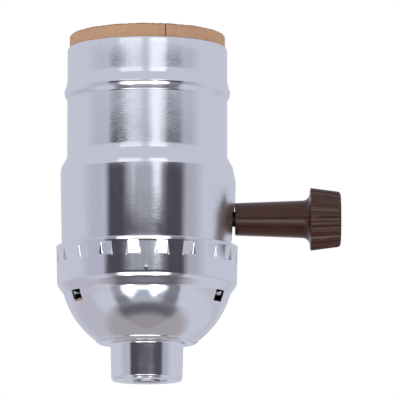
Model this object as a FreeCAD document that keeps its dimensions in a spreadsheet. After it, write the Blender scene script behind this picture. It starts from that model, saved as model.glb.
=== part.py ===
import FreeCAD, Part

"""Turn-knob lamp holder for a medium screw lamp, in millimetres.

The lamp axis is Z. The origin is on that axis at the bottom face of the threaded bushing, the lamp goes in
at the top, and the switch shaft points along +X.
"""

import os
from math import atan2, cos, pi, sin, sqrt

import Sketcher
from FreeCAD import Placement, Rotation, Vector

SIZES = [
    ("bushing_radius", 7.62, "outside of the threaded bushing"),
    ("bushing_height", 7.0, "bushing below the cap"),
    ("bushing_bore_radius", 4.5, "inside of the pipe thread, 1/8 IP"),
    ("bushing_edge_radius", 0.35, "rounded edges"),
    ("bushing_neck_radius", 6.2, "neck that passes through the cap"),
    ("bushing_flange_radius", 7.7, "staked flange inside the cap"),
    ("bushing_flange_height", 1.1, "staked flange inside the cap"),
    ("set_screw_radius", 1.7, "screw that locks the bushing on its pipe"),
    ("set_screw_place", 3.4, "height of the set screw's axis"),
    ("cap_sheet", 0.5, "thickness of the cap"),
    ("cap_gap", 0.57, "between the cap's rim and the shell inside it"),
    ("cap_height", 21.1, "from the cap's bottom to its mouth"),
    ("cap_rim_rise", 12.8, "from the cap's bottom to the lower edge of its rim"),
    ("cap_step", 0.8, "how much narrower the domed bottom is than the rim"),
    ("cap_step_height", 1.6, "height of the step between the dome and the rim"),
    ("cap_flat_radius", 8.31, "flat of the bottom, where the bushing is staked"),
    ("cap_lip_flare", 0.13, "how far the mouth flares outwards"),
    ("cap_lip_height", 0.9, "height of that flare"),
    ("cap_dimples", 20, "pressed dimples around the rim"),
    ("cap_dimple_width", 2.9, "width of a dimple"),
    ("cap_dimple_height", 3.1, "height of a dimple"),
    ("cap_dimple_drop", 0.8, "from the mouth down to a dimple"),
    ("cap_dimple_turn", 10.0, "angle of the first dimple, in degrees"),
    ("cap_slot_width", 3.3, "slots through the dome"),
    ("cap_slot_height", 2.1, "slots through the dome"),
    ("cap_slot_rise", 9.8, "from the cap's bottom to the middle of the slots"),
    ("cap_slots", 3, "number of slots"),
    ("cap_slot_turn", 60.0, "angle from the front to the first slot, in degrees"),
    ("cap_pip_radius", 0.45, "small raised pip at the front"),
    ("cap_pip_rise", 0.15, "how far it stands out"),
    ("cap_pip_height", 1.9, "from the rim's lower edge to the pip"),
    ("cap_insulator_wall", 0.4, "thickness of the fibre cup"),
    ("cap_insulator_lift", 0.6, "from the staked flange up to the fibre cup"),
    ("cap_insulator_drop", 1.9, "from the step down to the cup's upper edge"),
    ("shell_sheet", 0.4, "thickness of the outer shell"),
    ("shell_lift", 0.15, "between the shell's lower edge and the cap's step"),
    ("shell_height", 50.65, "from the shell's lower edge to its top"),
    ("shell_taper", 0.35, "how much narrower the shell is at the cap than at the shoulder"),
    ("shell_shoulder_step", 1.37, "how much wider the shoulder is than the neck"),
    ("shell_shoulder_rise", 24.05, "from the shell's lower edge to the shoulder"),
    ("shell_corner", 0.9, "height of the shoulder's corner"),
    ("shell_flare_height", 3.4, "from the shoulder to the neck"),
    ("shell_bead_drop", 7.4, "from the shell's top down to the bead"),
    ("shell_bead_height", 4.5, "height of the bead"),
    ("shell_bead_rise", 0.64, "how far the bead stands out"),
    ("shell_top_flare", 0.12, "how far the top edge flares outwards"),
    ("shell_top_band", 3.2, "height of that flare"),
    ("shell_slot_radius", 3.4, "half width of the slot for the stem"),
    ("liner_gap", 0.05, "between the liner and the shell's neck"),
    ("liner_wall", 0.8, "thickness of the fibre liner"),
    ("liner_clearance", 1.48, "between the lamp's screw shell and the liner"),
    ("liner_lift", 1.05, "from the shell's lower edge to the liner's"),
    ("liner_stand", 2.5, "how far the liner stands above the shell at the front"),
    ("liner_fall", 0.3, "how much lower the liner's top is at the back"),
    ("liner_seam", 0.25, "width of the butt seam"),
    ("liner_seam_turn", 14.0, "angle from the front to the seam, in degrees"),
    ("body_gap", 0.38, "between the moulded body and the liner"),
    ("body_floor", 2.5, "thickness below the switch chamber"),
    ("body_roof", 6.4, "thickness above the switch chamber"),
    ("terminal_recess", 4.2, "depth of the flats for the terminals"),
    ("body_flat_width", 12.0, "width of the terminal recesses"),
    ("body_strap_width", 6.4, "width of the channel for the neutral strap"),
    ("island_wall", 1.0, "wall of the raised seat outside the switch leaf"),
    ("island_gap", 0.7, "between the raised seat and the screw heads beside it"),
    ("screw_shell_gap", 0.4, "between the raised seat and the screw shell's floor"),
    ("island_height", 1.5, "height of that seat"),
    ("cavity_length", 16.0, "switch chamber along the shaft"),
    ("cavity_wall_gap", 0.5, "between a switch leaf and the chamber's wall"),
    ("cavity_roof_gap", 0.9, "how much further the roof is from the shaft than a switch leaf"),
    ("cavity_floor_gap", 1.1, "how much further the floor is from the shaft than a switch leaf"),
    ("nose_radius", 2.9, "bearing nose that reaches through the shell's slot"),
    ("nose_inset", 0.25, "from the shell's outside back to the end of the nose"),
    ("rivet_radius", 1.1, "rivets through the body"),
    ("rivet_head_radius", 2.0, "their heads"),
    ("rivet_head_height", 0.8, "their heads"),
    ("rivet_margin", 0.19, "between the rivet heads and the body's side"),
    ("screw_shell_sheet", 0.3, "thickness of the lamp's screw shell"),
    ("screw_shell_floor", 0.4, "thickness of its floor"),
    ("screw_shell_foot", 0.6, "how far the floor reaches past the thread"),
    ("screw_shell_drop", 0.2, "from the shell's top down to the screw shell's mouth"),
    ("thread_radius", 13.35, "deepest inside radius of the thread, E26"),
    ("thread_depth", 0.9, "depth of the rolled thread"),
    ("thread_pitch", 3.63, "pitch of the rolled thread"),
    ("lip_step", 0.1, "how much narrower the plain lip is than the thread"),
    ("lip_wall", 0.85, "thickness of the rolled lip"),
    ("lip_height", 1.6, "height of the rolled lip"),
    ("lip_edge_radius", 0.25, "rounded top edges of the lip"),
    ("shell_screw_radius", 1.3, "screws that hold the screw shell"),
    ("shell_screw_head_radius", 1.9, "their heads"),
    ("shell_screw_head_height", 1.1, "their heads"),
    ("shell_screw_gap", 0.55, "between their heads and the thread"),
    ("shell_screw_length", 4.4, "shank below the head"),
    ("contact_sheet", 0.4, "thickness of the centre contact"),
    ("contact_width", 4.0, "width of the centre contact"),
    ("contact_rise", 2.0, "how far its tongue rises"),
    ("contact_rivet_radius", 0.9, "rivet of the centre contact"),
    ("contact_rivet_head", 1.5, "radius of that rivet's head"),
    ("leaf_drop", 4.5, "from the shaft's axis to the lower end of the switch leaves"),
    ("leaf_gap", 0.15, "between a leaf and the bridge"),
    ("terminal_sheet", 0.8, "thickness of the terminal plates"),
    ("terminal_width", 9.0, "width of the terminal plates"),
    ("terminal_lift", 0.7, "from the body's bottom to the plates' lower edge"),
    ("terminal_screw_drop", 4.8, "from the shaft's axis down to the terminal screws"),
    ("terminal_screw_wall", 0.7, "between those screws and the switch chamber"),
    ("terminal_screw_radius", 1.7, "terminal screws"),
    ("terminal_head_radius", 3.6, "their heads"),
    ("terminal_head_height", 1.7, "their heads"),
    ("driver_slot", 0.8, "width and depth of the screwdriver slots"),
    ("shaft_radius", 1.6, "switch shaft"),
    ("shaft_rise", 6.0, "from the cap's mouth to the switch shaft's axis"),
    ("shaft_inner_wall", 4.0, "body left behind the shaft's inner end"),
    ("shaft_end_gap", 0.4, "between the shaft's outer end and the end of the knob's bore"),
    ("shaft_square", 2.2, "square that turns the drum and the cam"),
    ("bearing_gap", 0.05, "between the shaft and its bearings"),
    ("seat_gap", 0.05, "between parts that are pushed together"),
    ("rotor_gap", 1.4, "between the drum and the switch leaves"),
    ("rotor_length", 6.4, "drum along the shaft"),
    ("rotor_cam_gap", 0.8, "between the drum and the notched wheel"),
    ("rotor_hub_radius", 2.1, "hub inside the bridge"),
    ("bridge_sheet", 0.8, "thickness of the bridge"),
    ("bridge_width", 5.8, "width of the bridge"),
    ("cam_step", 0.2, "how much smaller the notched wheel is than the drum"),
    ("cam_gap", 0.6, "from the notched wheel to the end of the shaft's square"),
    ("cam_thickness", 2.6, "notched wheel"),
    ("cam_notches", 4, "stops in a turn"),
    ("cam_notch_radius", 0.8, "rounded notches"),
    ("detent_gap", 0.3, "between the wheel and its leaf spring"),
    ("detent_sheet", 0.3, "thickness of the leaf spring"),
    ("detent_end_gap", 0.9, "between the leaf spring's ends and the chamber's walls"),
    ("clip_thickness", 0.7, "shaft clip"),
    ("clip_gap", 0.6, "between the shaft clip and the chamber's end"),
    ("clip_shoulder", 0.5, "from the end of the shaft's square to the clip"),
    ("clip_radius", 2.9, "outside of the shaft clip"),
    ("clip_groove_radius", 1.2, "bottom of the clip's groove"),
    ("knob_shank_radius", 3.42, "shank at its inner end"),
    ("knob_neck_radius", 3.94, "shank where the flare begins"),
    ("knob_gap", 0.85, "between the bearing nose and the knob"),
    ("knob_shank_length", 14.1, "from the knob's inner end to the flare"),
    ("knob_bore_length", 11.7, "threaded bore"),
    ("knob_flare_rim", 0.2, "from the hollow of the flare to the head"),
    ("knob_head_length", 6.35, "fluted head"),
    ("knob_flare_radius", 1.55, "hollow of the flare"),
    ("knob_head_radius", 6.62, "head at its wide end"),
    ("knob_head_taper", 0.73, "how much the head narrows towards its outer end"),
    ("knob_edge_radius", 0.8, "rounded outer edge"),
    ("knob_flutes", 22, "flutes around the head"),
    ("knob_flute_radius", 0.9, "hollow of a flute"),
    ("knob_flute_depth", 0.36, "depth of a flute"),
]

FAR = 60.0  # longer than the object, for cuts that pass right through


class Size:
    """A number together with the spreadsheet expression that gives it."""

    def __init__(self, number, text):
        self.number = float(number)
        self.text = text

    def __add__(self, other):
        other = sized(other)
        return Size(self.number + other.number, f"({self.text} + {other.text})")

    def __sub__(self, other):
        other = sized(other)
        return Size(self.number - other.number, f"({self.text} - {other.text})")

    def __mul__(self, other):
        other = sized(other)
        return Size(self.number * other.number, f"({self.text} * {other.text})")

    def __truediv__(self, other):
        other = sized(other)
        return Size(self.number / other.number, f"({self.text} / {other.text})")

    def __neg__(self):
        return Size(-self.number, f"(0 - {self.text})")

    def __rsub__(self, other):
        return sized(other) - self

    __radd__ = __add__
    __rmul__ = __mul__


def sized(thing):
    """A plain number or a Size, as a Size."""
    return thing if isinstance(thing, Size) else Size(thing, f"({float(thing)})")


def leg(long_side, other_side):
    """The third side of a right-angled triangle."""
    square = long_side * long_side - other_side * other_side
    return Size(sqrt(square.number), f"sqrt({square.text})")


doc = FreeCAD.newDocument("LampHolder")


def make_sheet():
    """Write the driving sizes into the spreadsheet and return them by name."""
    sheet = doc.addObject("Spreadsheet::Sheet", "Sizes")
    for row, (alias, number, meaning) in enumerate(SIZES, start=1):
        sheet.set(f"A{row}", alias)
        sheet.set(f"B{row}", str(number))
        sheet.set(f"C{row}", meaning)
        sheet.setAlias(f"B{row}", alias)
    doc.recompute()
    return {alias: Size(sheet.get(alias), f"Sizes.{alias}") for alias, number, meaning in SIZES}


class Named:
    """The driving sizes as attributes, so that they read as plain words."""

    def __init__(self, sizes):
        self.__dict__.update(sizes)


s = Named(make_sheet())
fits = doc.addObject("App::VarSet", "Fits")
parts = []  # the finished sub-parts, in the order in which they are made


def drive(thing, prop, size):
    """Tie a property of a document object to the spreadsheet."""
    thing.setExpression(prop, sized(size).text)


def finished(thing, label):
    """Name a finished sub-part and list it."""
    thing.Label = label
    parts.append(thing)
    return thing


def new_body(label):
    """An empty PartDesign body, listed as a sub-part."""
    return finished(doc.addObject("PartDesign::Body", label), label)


def of_origin(body, role):
    """A plane or axis of the body's own origin."""
    return next(feature for feature in body.Origin.OriginFeatures if feature.Role == role)


def new_sketch(body, plane, turn=0.0, lift=0.0, tilt=0.0):
    """A sketch on an origin plane, turned about its up axis, lifted off and tilted about its across axis."""
    sketch = body.newObject("Sketcher::SketchObject", f"{body.Label}_outline")
    sketch.AttachmentSupport = [(of_origin(body, plane), "")]
    sketch.MapMode = "FlatFace"
    rotation = Rotation(Vector(0, 1, 0), sized(turn).number) * Rotation(Vector(1, 0, 0), sized(tilt).number)
    sketch.AttachmentOffset = Placement(Vector(0, 0, 0), rotation)
    drive(sketch, "AttachmentOffset.Base.z", lift)
    return sketch


def pin(sketch, edge, end, across=None, up=None):
    """Hold one point of a sketch at sizes from the spreadsheet."""
    for kind, size in (("DistanceX", across), ("DistanceY", up)):
        if size is not None:
            index = sketch.addConstraint(Sketcher.Constraint(kind, edge, end, sized(size).number))
            drive(sketch, f"Constraints[{index}]", size)


def draw_outline(sketch, corners):
    """Draw a closed outline.

    Each corner is (across, up), reached by a straight edge, or (across, up, centre across, centre up, way),
    reached by an arc round that centre, anticlockwise where way is 1 and clockwise where it is -1.
    """
    places = [Vector(sized(corner[0]).number, sized(corner[1]).number, 0) for corner in corners]
    ends = []
    for index, corner in enumerate(corners):
        start, end = places[index - 1], places[index]
        if len(corner) == 2:
            sketch.addGeometry(Part.LineSegment(start, end), False)
            ends.append((1, 2))
            continue
        centre = Vector(sized(corner[2]).number, sized(corner[3]).number, 0)
        first, last = (start, end) if corner[4] > 0 else (end, start)
        low = atan2(first.y - centre.y, first.x - centre.x)
        high = atan2(last.y - centre.y, last.x - centre.x)
        high += 2 * pi if high < low else 0
        circle = Part.Circle(centre, Vector(0, 0, 1), (start - centre).Length)
        sketch.addGeometry(Part.ArcOfCircle(circle, low, high), False)
        ends.append((1, 2) if corner[4] > 0 else (2, 1))
    for index in range(len(corners)):
        after = (index + 1) % len(corners)
        joint = Sketcher.Constraint("Coincident", index, ends[index][1], after, ends[after][0])
        sketch.addConstraint(joint)
    for index, corner in enumerate(corners):
        if len(corner) == 2:
            pin(sketch, index, ends[index][1], corner[0], corner[1])
            continue
        pin(sketch, index, 3, corner[2], corner[3])
        beside = places[index] - Vector(sized(corner[2]).number, sized(corner[3]).number, 0)
        if abs(beside.x) > abs(beside.y):
            pin(sketch, index, ends[index][1], up=corner[1])
        else:
            pin(sketch, index, ends[index][1], across=corner[0])


def draw_circle(sketch, across, up, radius):
    """Draw a full circle."""
    centre = Vector(sized(across).number, sized(up).number, 0)
    sketch.addGeometry(Part.Circle(centre, Vector(0, 0, 1), sized(radius).number), False)
    pin(sketch, 0, 3, across, up)
    index = sketch.addConstraint(Sketcher.Constraint("Radius", 0, sized(radius).number))
    drive(sketch, f"Constraints[{index}]", radius)


def revolve(body, corners, axis="V_Axis"):
    """Turn an outline, drawn in the XZ plane, about the up or the across axis."""
    sketch = new_sketch(body, "XZ_Plane")
    draw_outline(sketch, corners)
    turning = body.newObject("PartDesign::Revolution", f"{body.Label}_turning")
    turning.Profile = sketch
    turning.ReferenceAxis = (sketch, [axis])
    turning.Angle = 360
    return turning


def extrude(body, kind, sketch, length, side="Symmetric", backwards=False):
    """Pad or pocket a sketch."""
    feature = body.newObject(f"PartDesign::{kind}", f"{body.Label}_{kind}")
    feature.Profile = sketch
    feature.SideType = side
    feature.Reversed = backwards
    drive(feature, "Length", length)
    return feature


def repeat(body, features, axis, count):
    """Repeat features round an axis of the body."""
    pattern = body.newObject("PartDesign::PolarPattern", f"{body.Label}_pattern")
    pattern.Originals = features
    pattern.Axis = (of_origin(body, axis), [""])
    pattern.Angle = 360
    drive(pattern, "Occurrences", count)
    body.Tip = pattern
    return pattern


def block(x, y, z):
    """A box between two sizes along each axis."""
    box = doc.addObject("Part::Box", "block")
    for side, axis, (low, high) in (("Length", "x", x), ("Width", "y", y), ("Height", "z", z)):
        drive(box, side, sized(high) - low)
        drive(box, f"Placement.Base.{axis}", low)
    return box


def rod(radius, along, low, high, x=0, y=0, z=0):
    """A cylinder from low to high along one axis, at a place across it."""
    cylinder = doc.addObject("Part::Cylinder", "rod")
    turns = {"x": Rotation(Vector(0, 1, 0), 90), "y": Rotation(Vector(1, 0, 0), -90), "z": Rotation()}
    cylinder.Placement = Placement(Vector(0, 0, 0), turns[along])
    place = {"x": x, "y": y, "z": z, along: low}
    for axis in "xyz":
        drive(cylinder, f"Placement.Base.{axis}", place[axis])
    drive(cylinder, "Radius", radius)
    drive(cylinder, "Height", sized(high) - low)
    return cylinder


def joined(shapes):
    """Fuse several objects into one."""
    fusion = doc.addObject("Part::MultiFuse", "joined")
    fusion.Shapes = shapes
    fusion.Refine = True
    return fusion


def cut(base, tools):
    """Take tools away from a base, all at once."""
    result = doc.addObject("Part::Cut", "cut")
    result.Base = base
    result.Tool = tools[0] if len(tools) == 1 else joined(tools)
    result.Refine = True
    return result


def seat(thing):
    """Lift a piece that is made about the X axis up to the switch shaft's axis."""
    drive(thing, "Placement.Base.z", s.shaft_height)
    return thing


def fit(name, size):
    """Add a size that follows from others, as a property of the document that is tied to them."""
    fits.addProperty("App::PropertyFloat", name, "Fits")
    drive(fits, name, size)
    setattr(s, name, Size(sized(size).number, f"Fits.{name}"))


# Radii, from the lamp's thread outwards to the cap
fit("lip_radius", s.thread_radius - s.lip_step)
fit("liner_bore", s.lip_radius + s.lip_wall + s.liner_clearance)
fit("liner_radius", s.liner_bore + s.liner_wall)
fit("shell_neck_radius", s.liner_radius + s.liner_gap + s.shell_sheet)
fit("shell_shoulder_radius", s.shell_neck_radius + s.shell_shoulder_step)
fit("shell_low_radius", s.shell_shoulder_radius - s.shell_taper)
fit("cap_rim_radius", s.shell_low_radius + s.cap_gap + s.cap_sheet)
fit("cap_dome_radius", s.cap_rim_radius - s.cap_step)
fit("body_radius", s.liner_bore - s.body_gap)

# Places of the screws, the raised seat and the switch leaves, from the thread inwards
fit("screw_shell_floor_radius", s.thread_radius + s.screw_shell_foot)
fit("shell_screw_place", s.thread_radius - s.thread_depth - s.shell_screw_gap - s.shell_screw_head_radius)
fit("island_radius", s.shell_screw_place - s.shell_screw_head_radius - s.island_gap)
fit("screw_shell_hole", s.island_radius + s.screw_shell_gap)
fit("leaf_place", s.island_radius - s.island_wall - s.contact_sheet)
fit("cavity_half_width", s.leaf_place + s.contact_sheet + s.cavity_wall_gap)
fit("rotor_radius", s.leaf_place - s.rotor_gap)
fit("cam_radius", s.rotor_radius - s.cam_step)
fit("detent_reach", s.cavity_half_width - s.detent_end_gap)
fit("body_flat", s.body_radius - s.terminal_recess)
fit("terminal_face", s.body_flat + s.terminal_sheet)
fit("terminal_screw_end", s.cavity_half_width + s.terminal_screw_wall)
fit("rivet_place", (s.body_radius - s.rivet_head_radius - s.rivet_margin) * sqrt(0.5))

# Heights of the cap and the shell, from the bushing upwards
fit("cap_floor_top", s.bushing_height + s.cap_sheet)
fit("cap_dome_centre", s.bushing_height + leg(s.cap_dome_radius, s.cap_flat_radius))
fit("cap_slot_place", s.bushing_height + s.cap_slot_rise)
fit("cap_rim_low", s.bushing_height + s.cap_rim_rise)
fit("cap_step_low", s.cap_rim_low - s.cap_step_height)
fit("cap_pip_place", s.cap_rim_low + s.cap_pip_height)
fit("cap_rim_top", s.bushing_height + s.cap_height)
fit("cap_insulator_low", s.cap_floor_top + s.bushing_flange_height + s.cap_insulator_lift)
fit("cap_insulator_high", s.cap_step_low - s.cap_insulator_drop)
fit("shell_low", s.cap_rim_low + s.shell_lift)
fit("shell_shoulder_low", s.shell_low + s.shell_shoulder_rise)
fit("shell_shoulder_high", s.shell_shoulder_low + s.shell_corner)
fit("shell_neck_low", s.shell_shoulder_low + s.shell_flare_height)
fit("shell_top", s.shell_low + s.shell_height)
fit("shell_bead_high", s.shell_top - s.shell_bead_drop)
fit("shell_bead_low", s.shell_bead_high - s.shell_bead_height)
fit("liner_low", s.shell_low + s.liner_lift)
fit("liner_top_front", s.shell_top + s.liner_stand)
fit("liner_top_back", s.liner_top_front - s.liner_fall)

# Heights of the switch and the screw shell, from the shaft's axis
fit("shaft_height", s.cap_rim_top + s.shaft_rise)
fit("cavity_low", s.shaft_height - s.leaf_place - s.cavity_floor_gap)
fit("cavity_high", s.shaft_height + s.leaf_place + s.cavity_roof_gap)
fit("body_low", s.cavity_low - s.body_floor)
fit("body_high", s.cavity_high + s.body_roof)
fit("island_top", s.body_high + s.island_height)
fit("terminal_low", s.body_low + s.terminal_lift)
fit("terminal_screw_place", s.shaft_height - s.terminal_screw_drop)
fit("leaf_low", s.shaft_height - s.leaf_drop)
fit("floor_top", s.body_high + s.screw_shell_floor)
fit("thread_top", s.shell_top - s.screw_shell_drop - s.lip_height)

# Places along the shaft, from the switch chamber's end inwards and from the shell's side outwards
fit("bearing_radius", s.shaft_radius + s.bearing_gap)
fit("clip_place", s.cavity_length / 2 - s.clip_gap - s.clip_thickness)
fit("shaft_square_reach", s.clip_place - s.clip_shoulder)
fit("cam_low", s.shaft_square_reach - s.cam_gap - s.cam_thickness)
fit("rotor_high", s.cam_low - s.rotor_cam_gap)
fit("rotor_low", s.rotor_high - s.rotor_length)
fit("bridge_place", (s.rotor_low + s.rotor_high) / 2)
fit("shaft_start", s.body_radius - s.shaft_inner_wall)
fit("nose_end", s.shell_low_radius - s.nose_inset)
fit("knob_start", s.nose_end + s.knob_gap)
fit("knob_bore_end", s.knob_start + s.knob_bore_length)
fit("shaft_end", s.knob_bore_end - s.shaft_end_gap)
fit("knob_neck_place", s.knob_start + s.knob_shank_length)
fit("knob_head_start", s.knob_neck_place + s.knob_flare_radius + s.knob_flare_rim)
fit("knob_end", s.knob_head_start + s.knob_head_length)
fit("knob_head_end_radius", s.knob_head_radius - s.knob_head_taper)

rivet_places = [(s.rivet_place, -s.rivet_place), (-s.rivet_place, s.rivet_place)]


def make_bushing():
    """Threaded bushing, turned, with a flange staked inside the cap and a cross hole for its set screw."""
    body = new_body("bushing")
    edge = s.bushing_radius - s.bushing_edge_radius
    shoulder = s.bushing_height - s.bushing_edge_radius
    flange_top = s.cap_floor_top + s.bushing_flange_height
    revolve(body, [
        (s.bushing_bore_radius, 0),
        (edge, 0),
        (s.bushing_radius, s.bushing_edge_radius, edge, s.bushing_edge_radius, 1),
        (s.bushing_radius, shoulder),
        (edge, s.bushing_height, edge, shoulder, 1),
        (s.bushing_neck_radius, s.bushing_height),
        (s.bushing_neck_radius, s.cap_floor_top),
        (s.bushing_flange_radius, s.cap_floor_top),
        (s.bushing_flange_radius, flange_top - s.bushing_edge_radius),
        (s.bushing_flange_radius - s.bushing_edge_radius, flange_top),
        (s.bushing_bore_radius, flange_top),
    ])
    sketch = new_sketch(body, "XZ_Plane")
    draw_circle(sketch, 0, s.set_screw_place, s.set_screw_radius + s.seat_gap)
    extrude(body, "Pocket", sketch, s.bushing_radius * 2, side="One side")


def make_set_screw():
    """Slotted set screw in the back of the bushing, its face a little under the surface."""
    face = s.bushing_radius - s.bushing_edge_radius
    tip = s.bushing_bore_radius + s.seat_gap * 2
    shank = rod(s.set_screw_radius, "y", tip, face, z=s.set_screw_place)
    slot = block(
        (-s.set_screw_radius * 2, s.set_screw_radius * 2),
        (face - s.driver_slot, face + 1),
        (s.set_screw_place - s.driver_slot / 2, s.set_screw_place + s.driver_slot / 2),
    )
    finished(cut(shank, [slot]), "set_screw")


def make_cap():
    """Drawn cap: rim with a flared mouth, a step, a domed bottom with a flat where the bushing is staked."""
    body = new_body("cap")
    sheet = s.cap_sheet
    outer, inner = s.cap_dome_radius, s.cap_dome_radius - sheet
    centre = s.cap_dome_centre
    rim_inside = s.cap_rim_radius - sheet
    step_inside = s.cap_step_low + sheet * 0.35
    revolve(body, [
        (s.bushing_neck_radius + s.seat_gap, s.bushing_height),
        (leg(outer, centre - s.bushing_height), s.bushing_height),
        (leg(outer, centre - s.cap_step_low), s.cap_step_low, 0, centre, 1),
        (s.cap_rim_radius, s.cap_rim_low),
        (s.cap_rim_radius, s.cap_rim_top - s.cap_lip_height),
        (s.cap_rim_radius + s.cap_lip_flare, s.cap_rim_top),
        (rim_inside + s.cap_lip_flare, s.cap_rim_top),
        (rim_inside, s.cap_rim_top - s.cap_lip_height),
        (rim_inside, s.cap_rim_low + sheet * 0.35),
        (leg(inner, centre - step_inside), step_inside),
        (leg(inner, centre - s.cap_floor_top), s.cap_floor_top, 0, centre, -1),
        (s.bushing_neck_radius + s.seat_gap, s.cap_floor_top),
    ])
    high = s.cap_rim_top - s.cap_dimple_drop
    low = high - s.cap_dimple_height
    depth = rim_inside - s.shell_low_radius - s.seat_gap
    swelling = new_sketch(body, "XZ_Plane", turn=s.cap_dimple_turn)
    draw_outline(swelling, [
        (rim_inside + sheet / 2, high),
        (rim_inside, high),
        (rim_inside - depth, low),
        (rim_inside - depth, low - sheet),
        (rim_inside + sheet / 2, low - sheet),
    ])
    pushed_in = extrude(body, "Pad", swelling, s.cap_dimple_width + sheet)
    hollow = new_sketch(body, "XZ_Plane", turn=s.cap_dimple_turn)
    draw_outline(hollow, [
        (s.cap_rim_radius, high),
        (s.cap_rim_radius - depth, low),
        (s.cap_rim_radius + 1, low),
        (s.cap_rim_radius + 1, high),
    ])
    pressed = extrude(body, "Pocket", hollow, s.cap_dimple_width)
    repeat(body, [pushed_in, pressed], "Z_Axis", s.cap_dimples)
    opening = new_sketch(body, "XZ_Plane", turn=s.cap_slot_turn)
    side = s.cap_slot_width / 2
    slot_low = s.cap_slot_place - s.cap_slot_height / 2
    slot_high = s.cap_slot_place + s.cap_slot_height / 2
    draw_outline(opening, [(side, slot_low), (side, slot_high), (-side, slot_high), (-side, slot_low)])
    slot = extrude(body, "Pocket", opening, s.cap_rim_radius * 2, side="One side", backwards=True)
    repeat(body, [slot], "Z_Axis", s.cap_slots)
    spot = new_sketch(body, "XZ_Plane", lift=s.cap_rim_radius - sheet / 2)
    draw_circle(spot, 0, s.cap_pip_place, s.cap_pip_radius)
    extrude(body, "Pad", spot, sheet / 2 + s.cap_pip_rise, side="One side")


def make_cap_insulator():
    """Fibre cup that lies inside the dome and covers its slots."""
    body = new_body("cap_insulator")
    outer = s.cap_dome_radius - s.cap_sheet - s.seat_gap * 2
    inner = outer - s.cap_insulator_wall
    low, high, centre = s.cap_insulator_low, s.cap_insulator_high, s.cap_dome_centre
    revolve(body, [
        (leg(outer, centre - low), low),
        (leg(outer, centre - high), high, 0, centre, 1),
        (leg(inner, centre - high), high),
        (leg(inner, centre - low), low, 0, centre, -1),
    ])


def make_outer_shell():
    """Drawn shell: straight neck with a rolled bead, a flare, and a slot for the stem, open at the bottom."""
    body = new_body("outer_shell")
    sheet = s.shell_sheet
    neck, inside = s.shell_neck_radius, s.shell_neck_radius - sheet
    top_outside = neck + s.shell_top_flare
    bead_half = (s.shell_bead_high - s.shell_bead_low) / 2
    bead_middle = (s.shell_bead_high + s.shell_bead_low) / 2
    bead_radius = (bead_half * bead_half + s.shell_bead_rise * s.shell_bead_rise) / (s.shell_bead_rise * 2)
    bead_centre = neck + s.shell_bead_rise - bead_radius
    inner_half = leg(bead_radius - sheet, inside - bead_centre)
    shoulder = s.shell_shoulder_radius
    shoulder_inside = shoulder - sheet
    corner = s.shell_shoulder_high - s.shell_shoulder_low
    revolve(body, [
        (s.shell_low_radius - sheet, s.shell_low),
        (s.shell_low_radius, s.shell_low),
        (s.shell_low_radius, s.cap_rim_top),
        (shoulder, s.shell_shoulder_low),
        (shoulder - corner * 0.2, s.shell_shoulder_high),
        (neck, s.shell_neck_low),
        (neck, s.shell_bead_low),
        (neck, s.shell_bead_high, bead_centre, bead_middle, 1),
        (neck, s.shell_top - s.shell_top_band),
        (top_outside, s.shell_top - sheet),
        (top_outside - sheet, s.shell_top, top_outside - sheet, s.shell_top - sheet, 1),
        (s.liner_radius + s.liner_gap, s.shell_top),
        (inside, bead_middle + inner_half),
        (inside, bead_middle - inner_half, bead_centre, bead_middle, -1),
        (inside, s.shell_neck_low),
        (shoulder_inside - corner * 0.2, s.shell_shoulder_high - sheet * 0.45),
        (shoulder_inside, s.shell_shoulder_low - sheet * 0.3),
        (s.shell_low_radius - sheet, s.cap_rim_top),
    ])
    stem_slot(body, s.shell_slot_radius)


def stem_slot(body, radius):
    """Cut the slot for the stem, round at the top and open at the lower edge."""
    sketch = new_sketch(body, "YZ_Plane")
    draw_outline(sketch, [
        (-radius, 0),
        (radius, 0),
        (radius, s.shaft_height),
        (-radius, s.shaft_height, 0, s.shaft_height, 1),
    ])
    extrude(body, "Pocket", sketch, FAR, side="One side", backwards=True)


def make_insulating_liner():
    """Fibre sheet rolled into a tube, with a butt seam, cut a little higher at the front."""
    body = new_body("insulating_liner")
    revolve(body, [
        (s.liner_bore, s.liner_low),
        (s.liner_radius, s.liner_low),
        (s.liner_radius, s.liner_top_front),
        (s.liner_bore, s.liner_top_front),
    ])
    stem_slot(body, s.shell_slot_radius - s.seat_gap * 2)
    trim = new_sketch(body, "YZ_Plane")
    draw_outline(trim, [
        (-s.liner_radius, s.liner_top_front),
        (s.liner_radius, s.liner_top_back),
        (s.liner_radius + 1, s.liner_top_back),
        (s.liner_radius + 1, s.liner_top_front + 1),
        (-s.liner_radius, s.liner_top_front + 1),
    ])
    extrude(body, "Pocket", trim, FAR)
    seam = new_sketch(body, "XZ_Plane", turn=s.liner_seam_turn)
    half = s.liner_seam / 2
    draw_outline(seam, [(half, 0), (half, FAR * 2), (-half, FAR * 2), (-half, 0)])
    extrude(body, "Pocket", seam, FAR, side="One side", backwards=True)


def half_body(low, high, extra):
    """The moulded cylinder and the bearing nose between two heights, before its hollows are cut."""
    drum = rod(s.body_radius, "z", low, high)
    nose = rod(s.nose_radius, "x", s.cavity_length / 2, s.nose_end, z=s.shaft_height)
    slab = block((0, FAR), (-FAR, FAR), (low, high))
    half_nose = doc.addObject("Part::Common", "half_nose")
    half_nose.Base = nose
    half_nose.Tool = slab
    return joined([drum, half_nose] + extra)


def body_hollows():
    """The switch chamber, the bearings and the rivet holes, which both halves share."""
    half_length, half_width = s.cavity_length / 2, s.cavity_half_width
    hollows = [
        block((-half_length, half_length), (-half_width, half_width), (s.cavity_low, s.cavity_high)),
        rod(s.bearing_radius, "x", -s.shaft_start - s.seat_gap * 4, s.nose_end + 1, z=s.shaft_height),
    ]
    for x, y in rivet_places:
        hollows.append(rod(s.rivet_radius + s.seat_gap, "z", 0, FAR, x=x, y=y))
    return hollows


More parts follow.
